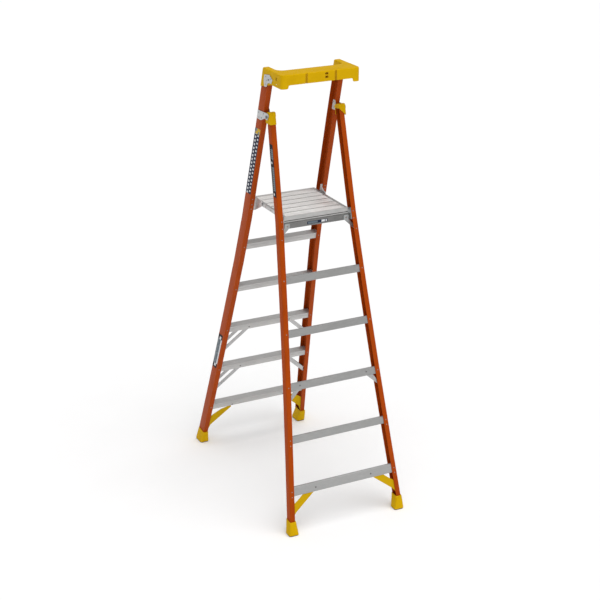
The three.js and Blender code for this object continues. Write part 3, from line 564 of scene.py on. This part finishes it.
def rail_piece(node, side, half, knots, y0, slope, depth, flange, wall, web, z0, z1):
    c = math.cos(math.atan(slope))
    d, w = depth / c, wall / c
    prof = fillet([
        (0, 0, 3.6), (0, -d, 3.6), (flange, -d, 1.5), (flange, -d + w, 1.2), (web, -d + w, 2.2),
        (web, -w, 2.2), (flange, -w, 1.2), (flange, 0, 1.5)], 4)
    levels = [z0, z0 + 1.2] + [k for k in knots if z0 + 5 < k < z1 - 5] + [z1 - 1.2, z1]
    bm = bmesh.new()
    rings = []
    for z in levels:
        inset = 0.7 if z in (z0, z1) else 0.0
        ring = []
        for a, b in prof:
            aa = min(max(a, inset), flange - inset) if inset else a
            bb = min(max(b, -d + inset), -inset) if inset else b
            ring.append(Vector((side * (half(z) - aa), y0 + slope * z + bb, z)))
        rings.append(ring)
    loft(bm, rings)
    o = finished("shell_" + node, bm, material_of(node), BODY[node], smooth=40)
    if node.startswith("rear"):
        # the front corner of the top is cut away under the cap
        def q(z, n):
            return (y0 + slope * z + n / c, z)
        cb = bmesh.new()
        prism_x(cb, [q(2409.2, -14), q(2390.6, -60), q(2420, -60), q(2420, -14)], min(side * 180, side * 260), max(side * 180, side * 260))
        ring = [(HINGE[0] + 5.15 * math.cos(2 * math.pi * k / 32), HINGE[1] + 5.15 * math.sin(2 * math.pi * k / 32)) for k in range(32)]
        prism_x(cb, ring, min(side * 222, side * 245), max(side * 222, side * 245))
        carve(o, cb, 40.0)
    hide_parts(node)
    return o


SIDES = (("right", 1), ("left", -1))
for name, s in SIDES:
    rail_piece(f"climbing_rail_{name}", s, ch, CLIMB_HALF[0], CLIMB_Y0, CLIMB_SLOPE, CLIMB_DEPTH, CLIMB_FLANGE, 3.8, 4.0, 9, 2600)
    rail_piece(f"rear_rail_{name}", s, rh, REAR_HALF[0], REAR_Y0, -REAR_SLOPE, REAR_DEPTH, REAR_FLANGE, 3.8, 4.0, 9, 2408)

# ------------------------------------------------------------------ steps: ribbed extrusions with two aprons
GAP = 0.3
flange_clear = (3.8 + GAP) / math.cos(ca)


def step_rear(z):
    return CLIMB_Y0 + CLIMB_SLOPE * z - flange_clear


def step_front(z):
    return CLIMB_Y0 + CLIMB_SLOPE * z - CLIMB_DEPTH / math.cos(ca) + flange_clear


def step_piece(k):
    top = 304.8 * k
    low, base = top - 38.0, top - 1.3
    yr, yf = step_rear(top), step_front(top)

    def face(yat, sign):
        # down the outside of an apron: a rounded shoulder, fine lines, a bead and a thick lip
        pts = []
        for g in (5.0, 8.0, 11.0):
            z = top - g
            pts += [(yat(z + 0.7), z + 0.7), (yat(z) - sign * 0.55, z, 0.25), (yat(z - 0.7), z - 0.7)]
        pts += [(yat(top - 13.2), top - 13.2, 0.5), (yat(top - 14.4) - sign * 1.1, top - 14.4, 0.4),
                (yat(top - 16.6) - sign * 1.1, top - 16.6, 0.4), (yat(top - 18.0), top - 18.0, 0.8),
                (yat(top - 20.6), top - 20.6, 0.8), (yat(top - 21.8) - sign * 0.7, top - 21.8, 0.4),
                (yat(low + 6.0) - sign * 0.7, low + 6.0, 0.4), (yat(low + 4.8), low + 4.8, 0.6)]
        return pts

    pts = [(yr, top, 1.8)] + face(step_rear, 1) + [(step_rear(low), low, 1.2), (step_rear(low) - 3.4, low, 1.0),
           (step_rear(low + 5) - 3.4, low + 5, 0.8), (step_rear(low + 7) - 2.5, low + 7),
           (step_rear(base - 2.5) - 2.5, base - 2.5, 1.5), (step_front(base - 2.5) + 2.5, base - 2.5, 1.5),
           (step_front(low + 7) + 2.5, low + 7), (step_front(low + 5) + 3.4, low + 5, 0.8), (step_front(low) + 3.4, low, 1.0), (step_front(low), low, 1.2)]
    pts += list(reversed(face(step_front, -1)))
    pts += [(yf, top, 1.8)]
    # tread: ribs in pairs with narrow channels between them
    ribs, y0, y1 = 10, yf + 3.4, yr - 3.4
    pitch = (y1 - y0) / ribs
    for i in range(ribs):
        y = y0 + pitch * i
        pts += [(y + 0.2, top), (y + 0.75, base, 0.25), (y + 2.5, base, 0.25), (y + 3.05, top, 0.3), (y + pitch - 0.35, top, 0.3) if i < ribs - 1 else (y + pitch - 0.1, top)]
    prof = fillet(pts, 2)
    bm = bmesh.new()
    prism_x(bm, prof, 0, 0, inner=lambda z: ch(z) - 4 - GAP)
    o = finished(f"shell_step_{k}", bm, "step", "climbing_frame", smooth=34)
    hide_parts(f"step_{k}")
    return o


for k in range(1, 6):
    step_piece(k)

# ------------------------------------------------------------------ platform: six ribbed planks between side bars
DECK_TOP, DECK_HALF = 1829.0, 206.0
JOINTS = [-134.6, -65.6, 3.4, 72.4, 141.4, 210.4, 279.4]
DECK_LOW = DECK_TOP - 23


def plank_piece(i):
    y0, y1 = JOINTS[i] + 0.15, JOINTS[i + 1] - 0.15
    top, low, skin = DECK_TOP - 2.8, DECK_LOW + 3, 2.4
    ga, gb = 2.2, 5.2 if i == 5 else 2.2
    pts = [(y0, top - 4.6, 0.4), (y0 + ga, top - 4.6, 0.8), (y0 + ga + 0.5, top, 1.4)]
    # crowned tread with shallow anti-slip channels
    ribs = 9
    a, b = y0 + ga + 2.9, y1 - gb - 2.9
    pitch = (b - a) / ribs
    for r in range(ribs):
        y = a + pitch * (r + 0.5)
        pts += [(y - 1.5, top, 0.4), (y - 0.9, top - 0.9, 0.3), (y + 0.9, top - 0.9, 0.3), (y + 1.5, top, 0.4)]
    pts += [(y1 - gb - 0.5, top, 1.4), (y1 - gb, top - 4.6, 0.8), (y1, top - 4.6, 0.4)]
    pts += [(y1, low, 0.6), (y1 - skin, low, 0.6), (y1 - skin, top - 4.6 - skin, 1.2), (y0 + skin, top - 4.6 - skin, 1.2), (y0 + skin, low, 0.6), (y0, low, 0.6)]
    bm = bmesh.new()
    x = DECK_HALF - 3.3
    prism_x(bm, fillet(pts, 2), -x, x)
    if i == 0:
        ya = JOINTS[0] - GAP
        nose = [(-152.6, DECK_LOW, 0.8), (-152.6, DECK_TOP - 0.2, 5.5), (ya, DECK_TOP - 0.2, 1.0), (ya, DECK_TOP - 2.9, 0.8),
                (-152.6 + 3, DECK_TOP - 3.6, 3.0), (-152.6 + 3, DECK_LOW, 0.8)]
        prism_x(bm, fillet(nose, 4), -DECK_HALF, DECK_HALF)
        prism_x(bm, [(ya - 2, DECK_TOP - 8.5), (ya + 2.3, DECK_TOP - 8.5), (ya + 2.3, DECK_TOP - 7.7), (ya - 0.2, DECK_TOP - 2.4), (ya - 2, DECK_TOP - 2.4)], -x, x)
    if i == 5:
        yb = JOINTS[-1] + GAP
        nose = [(yb, DECK_TOP - 0.2, 1.0), (284.7, DECK_TOP - 0.2, 3.2), (284.7, 1804.0, 0.3), (283.2, 1803.4, 0.3), (283.2, 1799.6, 0.3), (284.7, 1799.0, 0.3), (284.7, 1790.3, 0.8), (yb + 2.2, 1790.3, 0.8), (yb + 2.2, DECK_TOP - 4, 1.0), (yb, DECK_TOP - 4, 0.6)]
        prism_x(bm, fillet(nose, 4), -DECK_HALF, DECK_HALF)
        prism_x(bm, [(yb - 2.3, DECK_TOP - 8.5), (yb + 3, DECK_TOP - 8.5), (yb + 3, DECK_TOP - 3), (yb + 0.4, DECK_TOP - 3), (yb - 2.3, DECK_TOP - 7.6)], -x, x)
    # faces down in the plank joints take the groove tone: painted shade
    for f in bm.faces:
        zs = [v.co.z for v in f.verts]
        if max(zs) < top + 0.01 and min(zs) > top - 6 and f.calc_center_median().z < top - 1.6 and f.normal.z > -0.5:
            f.material_index = 1
        mid = f.calc_center_median()
        # on the last plank the rear face takes the darker nose tone (painted shade) and its groove the groove tone
        # (painted shade)
        if i == 5 and mid.y > 281.5:
            f.material_index = 1 if mid.y < 284.3 and 1798 < mid.z < 1805 else 2
    o = finished(f"shell_platform_plank_{i + 1}", bm, ["deck", "groove", "nose"], "platform", smooth=34)
    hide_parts(f"platform_plank_{i + 1}")


for i in range(6):
    plank_piece(i)

# ------------------------------------------------------------------ guardrail: a moulded U with rolled edges
RT = 2662.0


def guard_stations():
    def armz(y):
        if y < 79:
            return 2550.0
        return min(2583.0, 2550.0 + (y - 79.0) * 33.0 / 128.0)
    st = []

    def put(o, i, zo, zi, shear=0.0):
        st.append((Vector(o), Vector(i), zo, zi, shear))
    for y, sh in ((100.6, 0.307), (104.0, 0.30), (118.0, 0.25), (135.0, 0.16), (152.0, 0.06), (166.0, 0.0), (178.4, 0.0)):
        zb = armz(y - sh * 100)
        put((245, y), (205, y), zb, zb, sh)
    outer = [(245, 200), (245, 225), (245, 252), (245, 285), (245, 320.5)]
    outer += [(227 + 18 * math.cos(a), 320.5 + 18 * math.sin(a)) for a in map(math.radians, (18, 36, 54, 72, 90))]
    inner = [(165 + 40 * math.cos(a), 178.4 + 40 * math.sin(a)) for a in (math.radians(90 * (k + 1) / 12) for k in range(10))]
    for k, (o, i) in enumerate(zip(outer, inner)):
        zo = armz(o[1]) if k < 4 else 2583.0
        zi = min(2603.0, 2576.0 + (k + 1) * 9.0)
        put(o, i, zo, zi)
    for x, zo in ((219, 2583.0), (209, 2583.0), (206.5, 2583.6), (204.0, 2585.4), (202.3, 2588.0), (200.8, 2597.0), (199.0, 2600.8), (196.0, 2602.6), (191.0, 2603.0)):
        xi = 165 + 40 * math.cos(math.radians(82.5)) - (219 - x) * 0.2
        put((x, 338.5), (xi, 218.1 if x > 210 else 218.4), zo, 2603.0)
    for x, rec in ((160.0, 0.0), (125.0, 0.0), (98.0, 0.0), (97.5, 0.0), (96.0, 4.0), (86.0, 4.0), (84.5, 0.0), (60.0, 0.0), (30.0, 0.0), (0.0, 0.0)):
        put((x, 338.5 - rec), (x * 0.98, 218.4), 2603.0, 2603.0)
    full = [(o, i, zo, zi, sh, 1) for o, i, zo, zi, sh in st]
    full += [(Vector((-o.x, o.y)), Vector((-i.x, i.y)), zo, zi, sh, -1) for o, i, zo, zi, sh in reversed(st[:-1])]
    return full


def guard_piece():
    R, t = 6.5, 3.2
    bm = bmesh.new()
    rings = []
    for o, i, zo, zi, sh, _ in guard_stations():
        span = (i - o).length
        d = (i - o) / span
        pts = []

        def P(off, z):
            q = o + d * off
            return Vector((q.x, q.y + sh * (z - RT), z))
        arc = [math.radians(a) for a in (0, 18, 36, 54, 72, 90)]
        outer = [P(0.9, zo), P(0, zo + 0.9), P(0, zo + 3.5), P(0, (zo + RT - R) / 2)]
        outer += [P(R * (1 - math.cos(a)), RT - R + R * math.sin(a)) for a in arc]
        outer += [P(span * f, RT) for f in (0.35, 0.5, 0.65)] if span > 60 else [P(span * 0.5, RT)] * 0 + [P(span * f, RT) for f in (0.42, 0.5, 0.58)]
        outer += [P(span - R * (1 - math.cos(a)), RT - R + R * math.sin(a)) for a in reversed(arc)]
        outer += [P(span, (zi + RT - R) / 2), P(span, zi + 3.5), P(span, zi + 0.9), P(span - 0.9, zi)]
        inner = [P(span - t + 0.5, zi), P(span - t, zi + 0.8), P(span - t, (zi + RT) / 2), P(span - t, RT - R), P(span - R, RT - t), P(span * 0.5, RT - t),
                 P(R, RT - t), P(t, RT - R), P(t, (zo + RT) / 2), P(t, zo + 0.8), P(t - 0.5, zo)]
        rings.append(outer + inner)
    loft(bm, rings)
    # ribs under the bar and behind the rail tops
    for x in (-150, -50, 50, 150):
        prism_x(bm, [(219.5, 2607), (337.0, 2607), (337.0, 2657.5), (334.0, 2660.2), (223.0, 2660.2), (219.5, 2657.5)], x - 1.5, x + 1.5)
    # pockets behind the openings
    prism_x(bm, [(316.0, 2614), (336.6, 2614), (336.6, 2657.5), (316.0, 2657.5)], -48.0, -22.0)
    for s in (1, -1):
        prism_x(bm, [(260, 2608), (284, 2608), (284, 2648), (260, 2648)], min(s * 216, s * 243), max(s * 216, s * 243))
    # the walls of the rear-face groove take the darker yellow: painted shade
    for f in bm.faces:
        m = f.calc_center_median()
        if 84.4 < abs(m.x) < 97.6 and 334 < m.y < 338.4 and abs(f.normal.z) < 0.5:
            f.material_index = 1
    o = finished("shell_guardrail", bm, ["yellow", "yellow_shade"], "climbing_frame", smooth=38)
    # openings in the rear face and in the outer walls
    cb = bmesh.new()
    for z0, z1 in ((2640.5, 2653.5), (2621.5, 2634.5)):
        prism_x(cb, fillet([(321.0, z0, 2), (350, z0, 2), (350, z1, 2), (321.0, z1, 2)], 2), -44.5, -25.5)
    for s in (1, -1):
        slot = [(266, 2618, 5.5), (278, 2618, 5.5), (278, 2640, 5.5), (266, 2640, 5.5)]
        prism_x(cb, fillet(slot, 5), min(s * 221, s * 260), max(s * 221, s * 260))
        hole = [(272 + 3.6 * math.cos(2 * math.pi * k / 16), 2599 + 3.6 * math.sin(2 * math.pi * k / 16)) for k in range(16)]
        prism_x(cb, hole, min(s * 228, s * 260), max(s * 228, s * 260))
    carve(o, cb)
    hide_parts("guardrail")
    return o


guard_piece()

# ------------------------------------------------------------------ the rest keep their shape, with their edges rounded
for n in frame["nodes"]:
    if n.startswith("rear_rail_cap"):
        refine(n, 1.2, 2, 40, smooth=40)
    elif "shoe" in n:
        refine(n, 1.6, 3, 40, smooth=40)
    elif "foot_pad" in n:
        refine(n, 0.8, 2, 50, smooth=40)
    elif "brace" in n or "strap" in n or "gusset" in n:
        o = refine(n, 0.6, 2, 32)
        if n.startswith("step_1_corner"):
            # the tip stays up behind the apron
            cb = bmesh.new()
            prism_x(cb, [(-660, 240), (-500, 240), (-500, 272), (-660, 272)], *((160, 192) if n.endswith("right") else (-192, -160)))
            carve(o, cb, 32.0)
    elif n.startswith(("hinge_", "guardrail_bracket", "platform_bracket", "support_")):
        refine(n, 0.7, 2, 32)
    elif n.startswith("platform_side") or n == "platform_support_bar":
        refine(n, 0.5, 2, 32)
    elif n.startswith("rear_horizontal"):
        refine(n, 0.35, 1, 32)

# ------------------------------------------------------------------ inner hinge plates
for name, s in SIDES:
    cy = lambda z: CLIMB_Y0 + CLIMB_SLOPE * z
    prof = fillet([(cy(2366) - 22, 2366, 4), (cy(2366) + 10, 2366, 5), (113, 2384, 6), (113, 2412, 5), (105, 2426, 6), (cy(2426) - 22, 2426, 4)], 4)
    bm = bmesh.new()
    prism_x(bm, prof, min(s * 209.4, s * 212.2), max(s * 209.4, s * 212.2))
    finished(f"hinge_inner_plate_{name}", bm, "plate_dull", "climbing_frame")

# ------------------------------------------------------------------ rivets
GUARD_BOLT = (177.0, 2606.0)
bm_c, bm_r, bm_d, bm_p, bm_z, bm_h = (bmesh.new() for _ in range(6))
for name, s in SIDES:
    ax = Vector((s, 0, 0))
    # step ends, through both flanges of the climbing rails
    for k in range(1, 6):
        z = 304.8 * k - 19
        rivet(bm_c, climb_at(s * (ch(z) - 15), z), CLIMB_N, 3.6, 1.5)
        rivet(bm_c, climb_at(s * (ch(z) - 15), z + 10, -CLIMB_DEPTH), -CLIMB_N, 3.6, 1.5)
    # horizontals, through both flanges of the rear rails
    for k in range(5):
        z = 234.4 + 304.8 * k + (27 if k == 0 else 22)
        rivet(bm_r, rear_at(s * (rh(z) - 15), z), REAR_N, 3.5, 1.5)
        if k < 2:
            rivet(bm_r, rear_at(s * (rh(z - 30) - 15), z - 30), REAR_N, 3.5, 1.5)
    # shoes
    for z in (48, 78):
        rivet(bm_c, (s * (ch(z) + 1.4 if z > 60 else ch(z) + 2.6), CLIMB_Y0 + CLIMB_SLOPE * z - 42, z), ax, 5.0, 2.2)
        rivet(bm_r, (s * (rh(z) + 1.4 if z > 60 else rh(z) + 2.6), REAR_Y0 - REAR_SLOPE * z - 26, z), ax, 5.0, 2.2)
    # guardrail bracket, hinge plate, inner hinge plate, platform bracket
    for y, z in ((142, 2618), (150, 2597), (204, 2614), (134, 2572)):
        rivet(bm_z, (s * 248.3, y, z), ax, 4.4, 1.9)
    rivet(bm_d, (s * 248.3, GUARD_BOLT[0], GUARD_BOLT[1]), ax, 6.0, 3.6)
    for y, z in ((42, 2391), (78, 2366), (44, 2362), (106, 2396)):
        rivet(bm_z, (s * 247.2, y, z), ax, 4.8, 2.1)
    for y, z in ((84, 2378), (92, 2412)):
        rivet(bm_z, (s * 209.4, y, z), -ax, 4.4, 2.0)
    for z in (1770, 1800, 1836) if s > 0 else (1770, 1800, 1836, 1858):
        rivet(bm_c, climb_at(s * (ch(z) - 15), z), CLIMB_N, 3.6, 1.4)
    # braces and straps
    z = 274
    rivet(bm_d, (s * 186, step_rear(z) - 0.6, z), CLIMB_N, 5.0, 2.0)
    for k in (2, 3):
        z = 304.8 * k - 22
        rivet(bm_d, (s * (ch(z) - 167), step_rear(z) - 0.6, z), CLIMB_N, 5.0, 2.0)
        rivet(bm_d, (s * (ch(z) - 167), step_front(z) + 0.6, z), -CLIMB_N, 5.0, 2.0)
    n_bar = -(3.8 + GAP)
    rivet(bm_h, rear_at(s * 220, 868, n_bar), REAR_N, 4.8, 2.0)
    rivet(bm_h, rear_at(s * 185, 258, n_bar), REAR_N, 4.8, 2.0)
    # support bar, its brackets and struts
    rivet(bm_r, (s * 190, 294.8, 1771), (0, 1, 0), 4.8, 2.2)
    rivet(bm_r, (s * 214.2, 284, 1773), -ax, 4.6, 2.0)
    for z in (1768, 1808):
        rivet(bm_r, rear_at(s * 231, z), REAR_N, 3.2, 1.0)
    rivet(bm_r, rear_at(s * (rh(1706) - 15), 1706), REAR_N, 3.2, 1.0)
    # planks to the side bars
    for i in range(6):
        y = (JOINTS[i] + JOINTS[i + 1]) / 2
        rivet(bm_p, (s * 199.0, y, DECK_TOP), (0, 0, 1), 3.6, 1.2)
        rivet(bm_p, (s * DECK_HALF, y - (18 if i == 1 else 0), DECK_TOP - 12), ax, 4.0, 1.8)
finished("rivets_climbing_frame", bm_c, "rivet", "climbing_frame", smooth=40)
finished("rivets_rear_frame", bm_r, "rivet", "rear_frame", smooth=40)
finished("rivets_straps", bm_d, "rivet_dark", "climbing_frame", smooth=40)
finished("rivets_plates", bm_z, "rivet_plate", "climbing_frame", smooth=40)
finished("rivets_horizontals", bm_h, "rivet_dark", "rear_frame", smooth=40)
finished("rivets_platform", bm_p, "rivet", "platform", smooth=40)

# ------------------------------------------------------------------ printed strips: plain blocks, no lettering
def strip(name, body, at, cols, rows, pick, inks):
    """a thin film: at(a, b, off) is a point of the surface; cols and rows are the edges of its cells"""
    bm = bmesh.new()
    top = [[bm.verts.new(at(a, b, 0.25)) for a in cols] for b in rows]
    low = [[bm.verts.new(at(a, b, -0.3)) for a in cols] for b in rows]
    nr, nc = len(rows), len(cols)
    for j in range(nr - 1):
        for i in range(nc - 1):
            f = bm.faces.new((top[j][i], top[j][i + 1], top[j + 1][i + 1], top[j + 1][i]))
            f.material_index = pick(i, j)
            bm.faces.new((low[j][i], low[j + 1][i], low[j + 1][i + 1], low[j][i + 1]))
    for j in range(nr - 1):
        bm.faces.new((top[j][0], top[j + 1][0], low[j + 1][0], low[j][0]))
        bm.faces.new((top[j][-1], low[j][-1], low[j + 1][-1], top[j + 1][-1]))
    for i in range(nc - 1):
        bm.faces.new((top[0][i], low[0][i], low[0][i + 1], top[0][i + 1]))
        bm.faces.new((top[-1][i], top[-1][i + 1], low[-1][i + 1], low[-1][i]))
    return finished(name, bm, inks, body, flat=True)


def on_climb(side):
    return lambda n, z, off: Vector((side * (ch(z) + off), CLIMB_Y0 + CLIMB_SLOPE * z + n / math.cos(ca), z))


def on_rear(side):
    return lambda n, z, off: Vector((side * (rh(z) + off), REAR_Y0 - REAR_SLOPE * z + n / math.cos(ra), z))


def spread(a, b, step, extra=()):
    n = max(1, round(abs(b - a) / step))
    vals = [a + (b - a) * k / n for k in range(n + 1)]
    return vals


PITCH = 12.0
rows = [1868 + PITCH * k + (1.2 if k % 2 else 0.0) for k in range(33)] + [2256, 2272, 2290]
cols_a = [-73.4, -63, -47, -32, -16, -8]


def pick_checker(i, j):
    if j >= 33:
        return (0, 2, 3, 3, 3)[i] if j == 34 else (2, 3, 3, 2, 3)[i]
    if i % 2 == 0:
        return 0
    return 1 if (i // 2 + j) % 2 == 0 else 0


strip("strip_checker_right", "climbing_frame", on_climb(1), cols_a, rows, pick_checker,
      ["ink_dark", "ink_white", "ink_grey", "ink_yellow"])
rows_b = [1942, 1950, 1962, 1972] + spread(1977, 2112, 5.6) + [2118, 2126, 2138, 2146] + spread(2150, 2212, 5.6) + [2236]


def pick_bars(i, j):
    z = (rows_b[j] + rows_b[j + 1]) / 2
    if z < 1950 or z > 2212 or 2112 < z < 2126 or 2138 < z < 2150 or 1962 < z < 1977:
        return 0
    if 2126 < z < 2138 or 1950 < z < 1962:
        return 1 if i == 1 else 0
    return (0, 2, 2, 0)[i] if j % 2 == 0 else (0, 0, 3, 0)[i]


strip("strip_bars_right", "rear_frame", on_rear(1), [-46.4, -38, -24, -9, -4.5], rows_b, pick_bars, ["ink_black", "ink_white", "ink_grey", "ink_slate"])
rows_c = [597, 608, 618, 628] + spread(634, 800, 11.0) + [812, 822, 832, 848]


def pick_label(i, j):
    z = (rows_c[j] + rows_c[j + 1]) / 2
    if z < 608 or z > 832:
        return 0
    if 608 < z < 628 or 812 < z < 832:
        return 2 if i == 1 else 0
    return (1, 3, 2)[i] if j % 5 else (3, 1, 2)[i]


strip("strip_label_right", "climbing_frame", on_climb(1), [-73.4, -55, -32, -17], rows_c, pick_label, ["ink_black", "ink_grey", "ink_white", "ink_slate"])
cols_d = [-70, -65, -58, -53, -31, -28, -10, -6, 50, 57, 62]
rows_d = [1760, 1766, 1768, 1777, 1779, 1785]


def pick_plate(i, j):
    x = (cols_d[i] + cols_d[i + 1]) / 2
    z = (rows_d[j] + rows_d[j + 1]) / 2
    if z < 1765 or z > 1780 or x < -65 or x > 57:
        return 0
    if -31 < x < -6:
        return 0
    if x < -53:
        return 1 if -65 < x < -58 else 0
    if -53 < x < -31:
        return 1
    return 2


strip("strip_plate_support", "rear_frame", lambda x, z, off: Vector((x, 291.2 + off, z)), cols_d, rows_d, pick_plate, ["ink_dark", "ink_white", "ink_slate"])

# ------------------------------------------------------------------ camera
cam_data = D.cameras.new("camera")
cam = D.objects.new("camera", cam_data)
scene.collection.objects.link(cam)
scene.camera = cam
cam_data.sensor_width = 36.0
cam_data.lens = 1460.537 / 600 * 36.0
cam_data.shift_x = (300.0 - 300.395) / 600
cam_data.shift_y = (299.769 - 300.0) / 600
cam_data.clip_end = 100
look = Vector((-0.41363884, -0.83182092, -0.37010387))
cam.location = (3.653863, 7.427024, 4.478726)
cam.rotation_euler = look.to_track_quat("-Z", "Y").to_euler()

# ------------------------------------------------------------------ studio
def floor():
    bm = bmesh.new()
    bmesh.ops.create_grid(bm, x_segments=2, y_segments=2, size=300)
    me = D.meshes.new("studio_floor")
    bm.to_mesh(me)
    bm.free()
    o = D.objects.new("studio_floor", me)
    scene.collection.objects.link(o)
    m = Nodes("studio_floor")
    n = m.noise(None, 3.0, 3.0)
    m.link(m.ramp(n, "Fac", [(0.3, 0.955), (0.7, 0.965)]), "Color", m.bsdf, "Base Color")
    set_in(m.bsdf, Roughness=0.9)
    me.materials.append(m.mat)
    return o


floor()
world = D.worlds.new("studio")
scene.world = world
world.use_nodes = True
wn = world.node_tree
wn.nodes["Background"].inputs["Color"].default_value = (1, 1, 1, 1)
wn.nodes["Background"].inputs["Strength"].default_value = 0.50


def area(name, loc, target, size, energy, color=(1, 1, 1)):
    d = D.lights.new(name, "AREA")
    d.shape = "RECTANGLE"
    d.size, d.size_y = size
    d.energy = energy
    d.color = color
    o = D.objects.new(name, d)
    o.location = loc
    o.rotation_euler = (Vector(target) - Vector(loc)).to_track_quat("-Z", "Y").to_euler()
    scene.collection.objects.link(o)
    return o


sun = D.lights.new("soft_overhead", "SUN")
sun.energy = 1.97
sun.angle = math.radians(60)
so = D.objects.new("soft_overhead", sun)
so.rotation_euler = Vector((0.04, -0.38, -0.92)).to_track_quat("-Z", "Y").to_euler()
scene.collection.objects.link(so)
scene.view_settings.view_transform = "Standard"
scene.view_settings.look = "None"
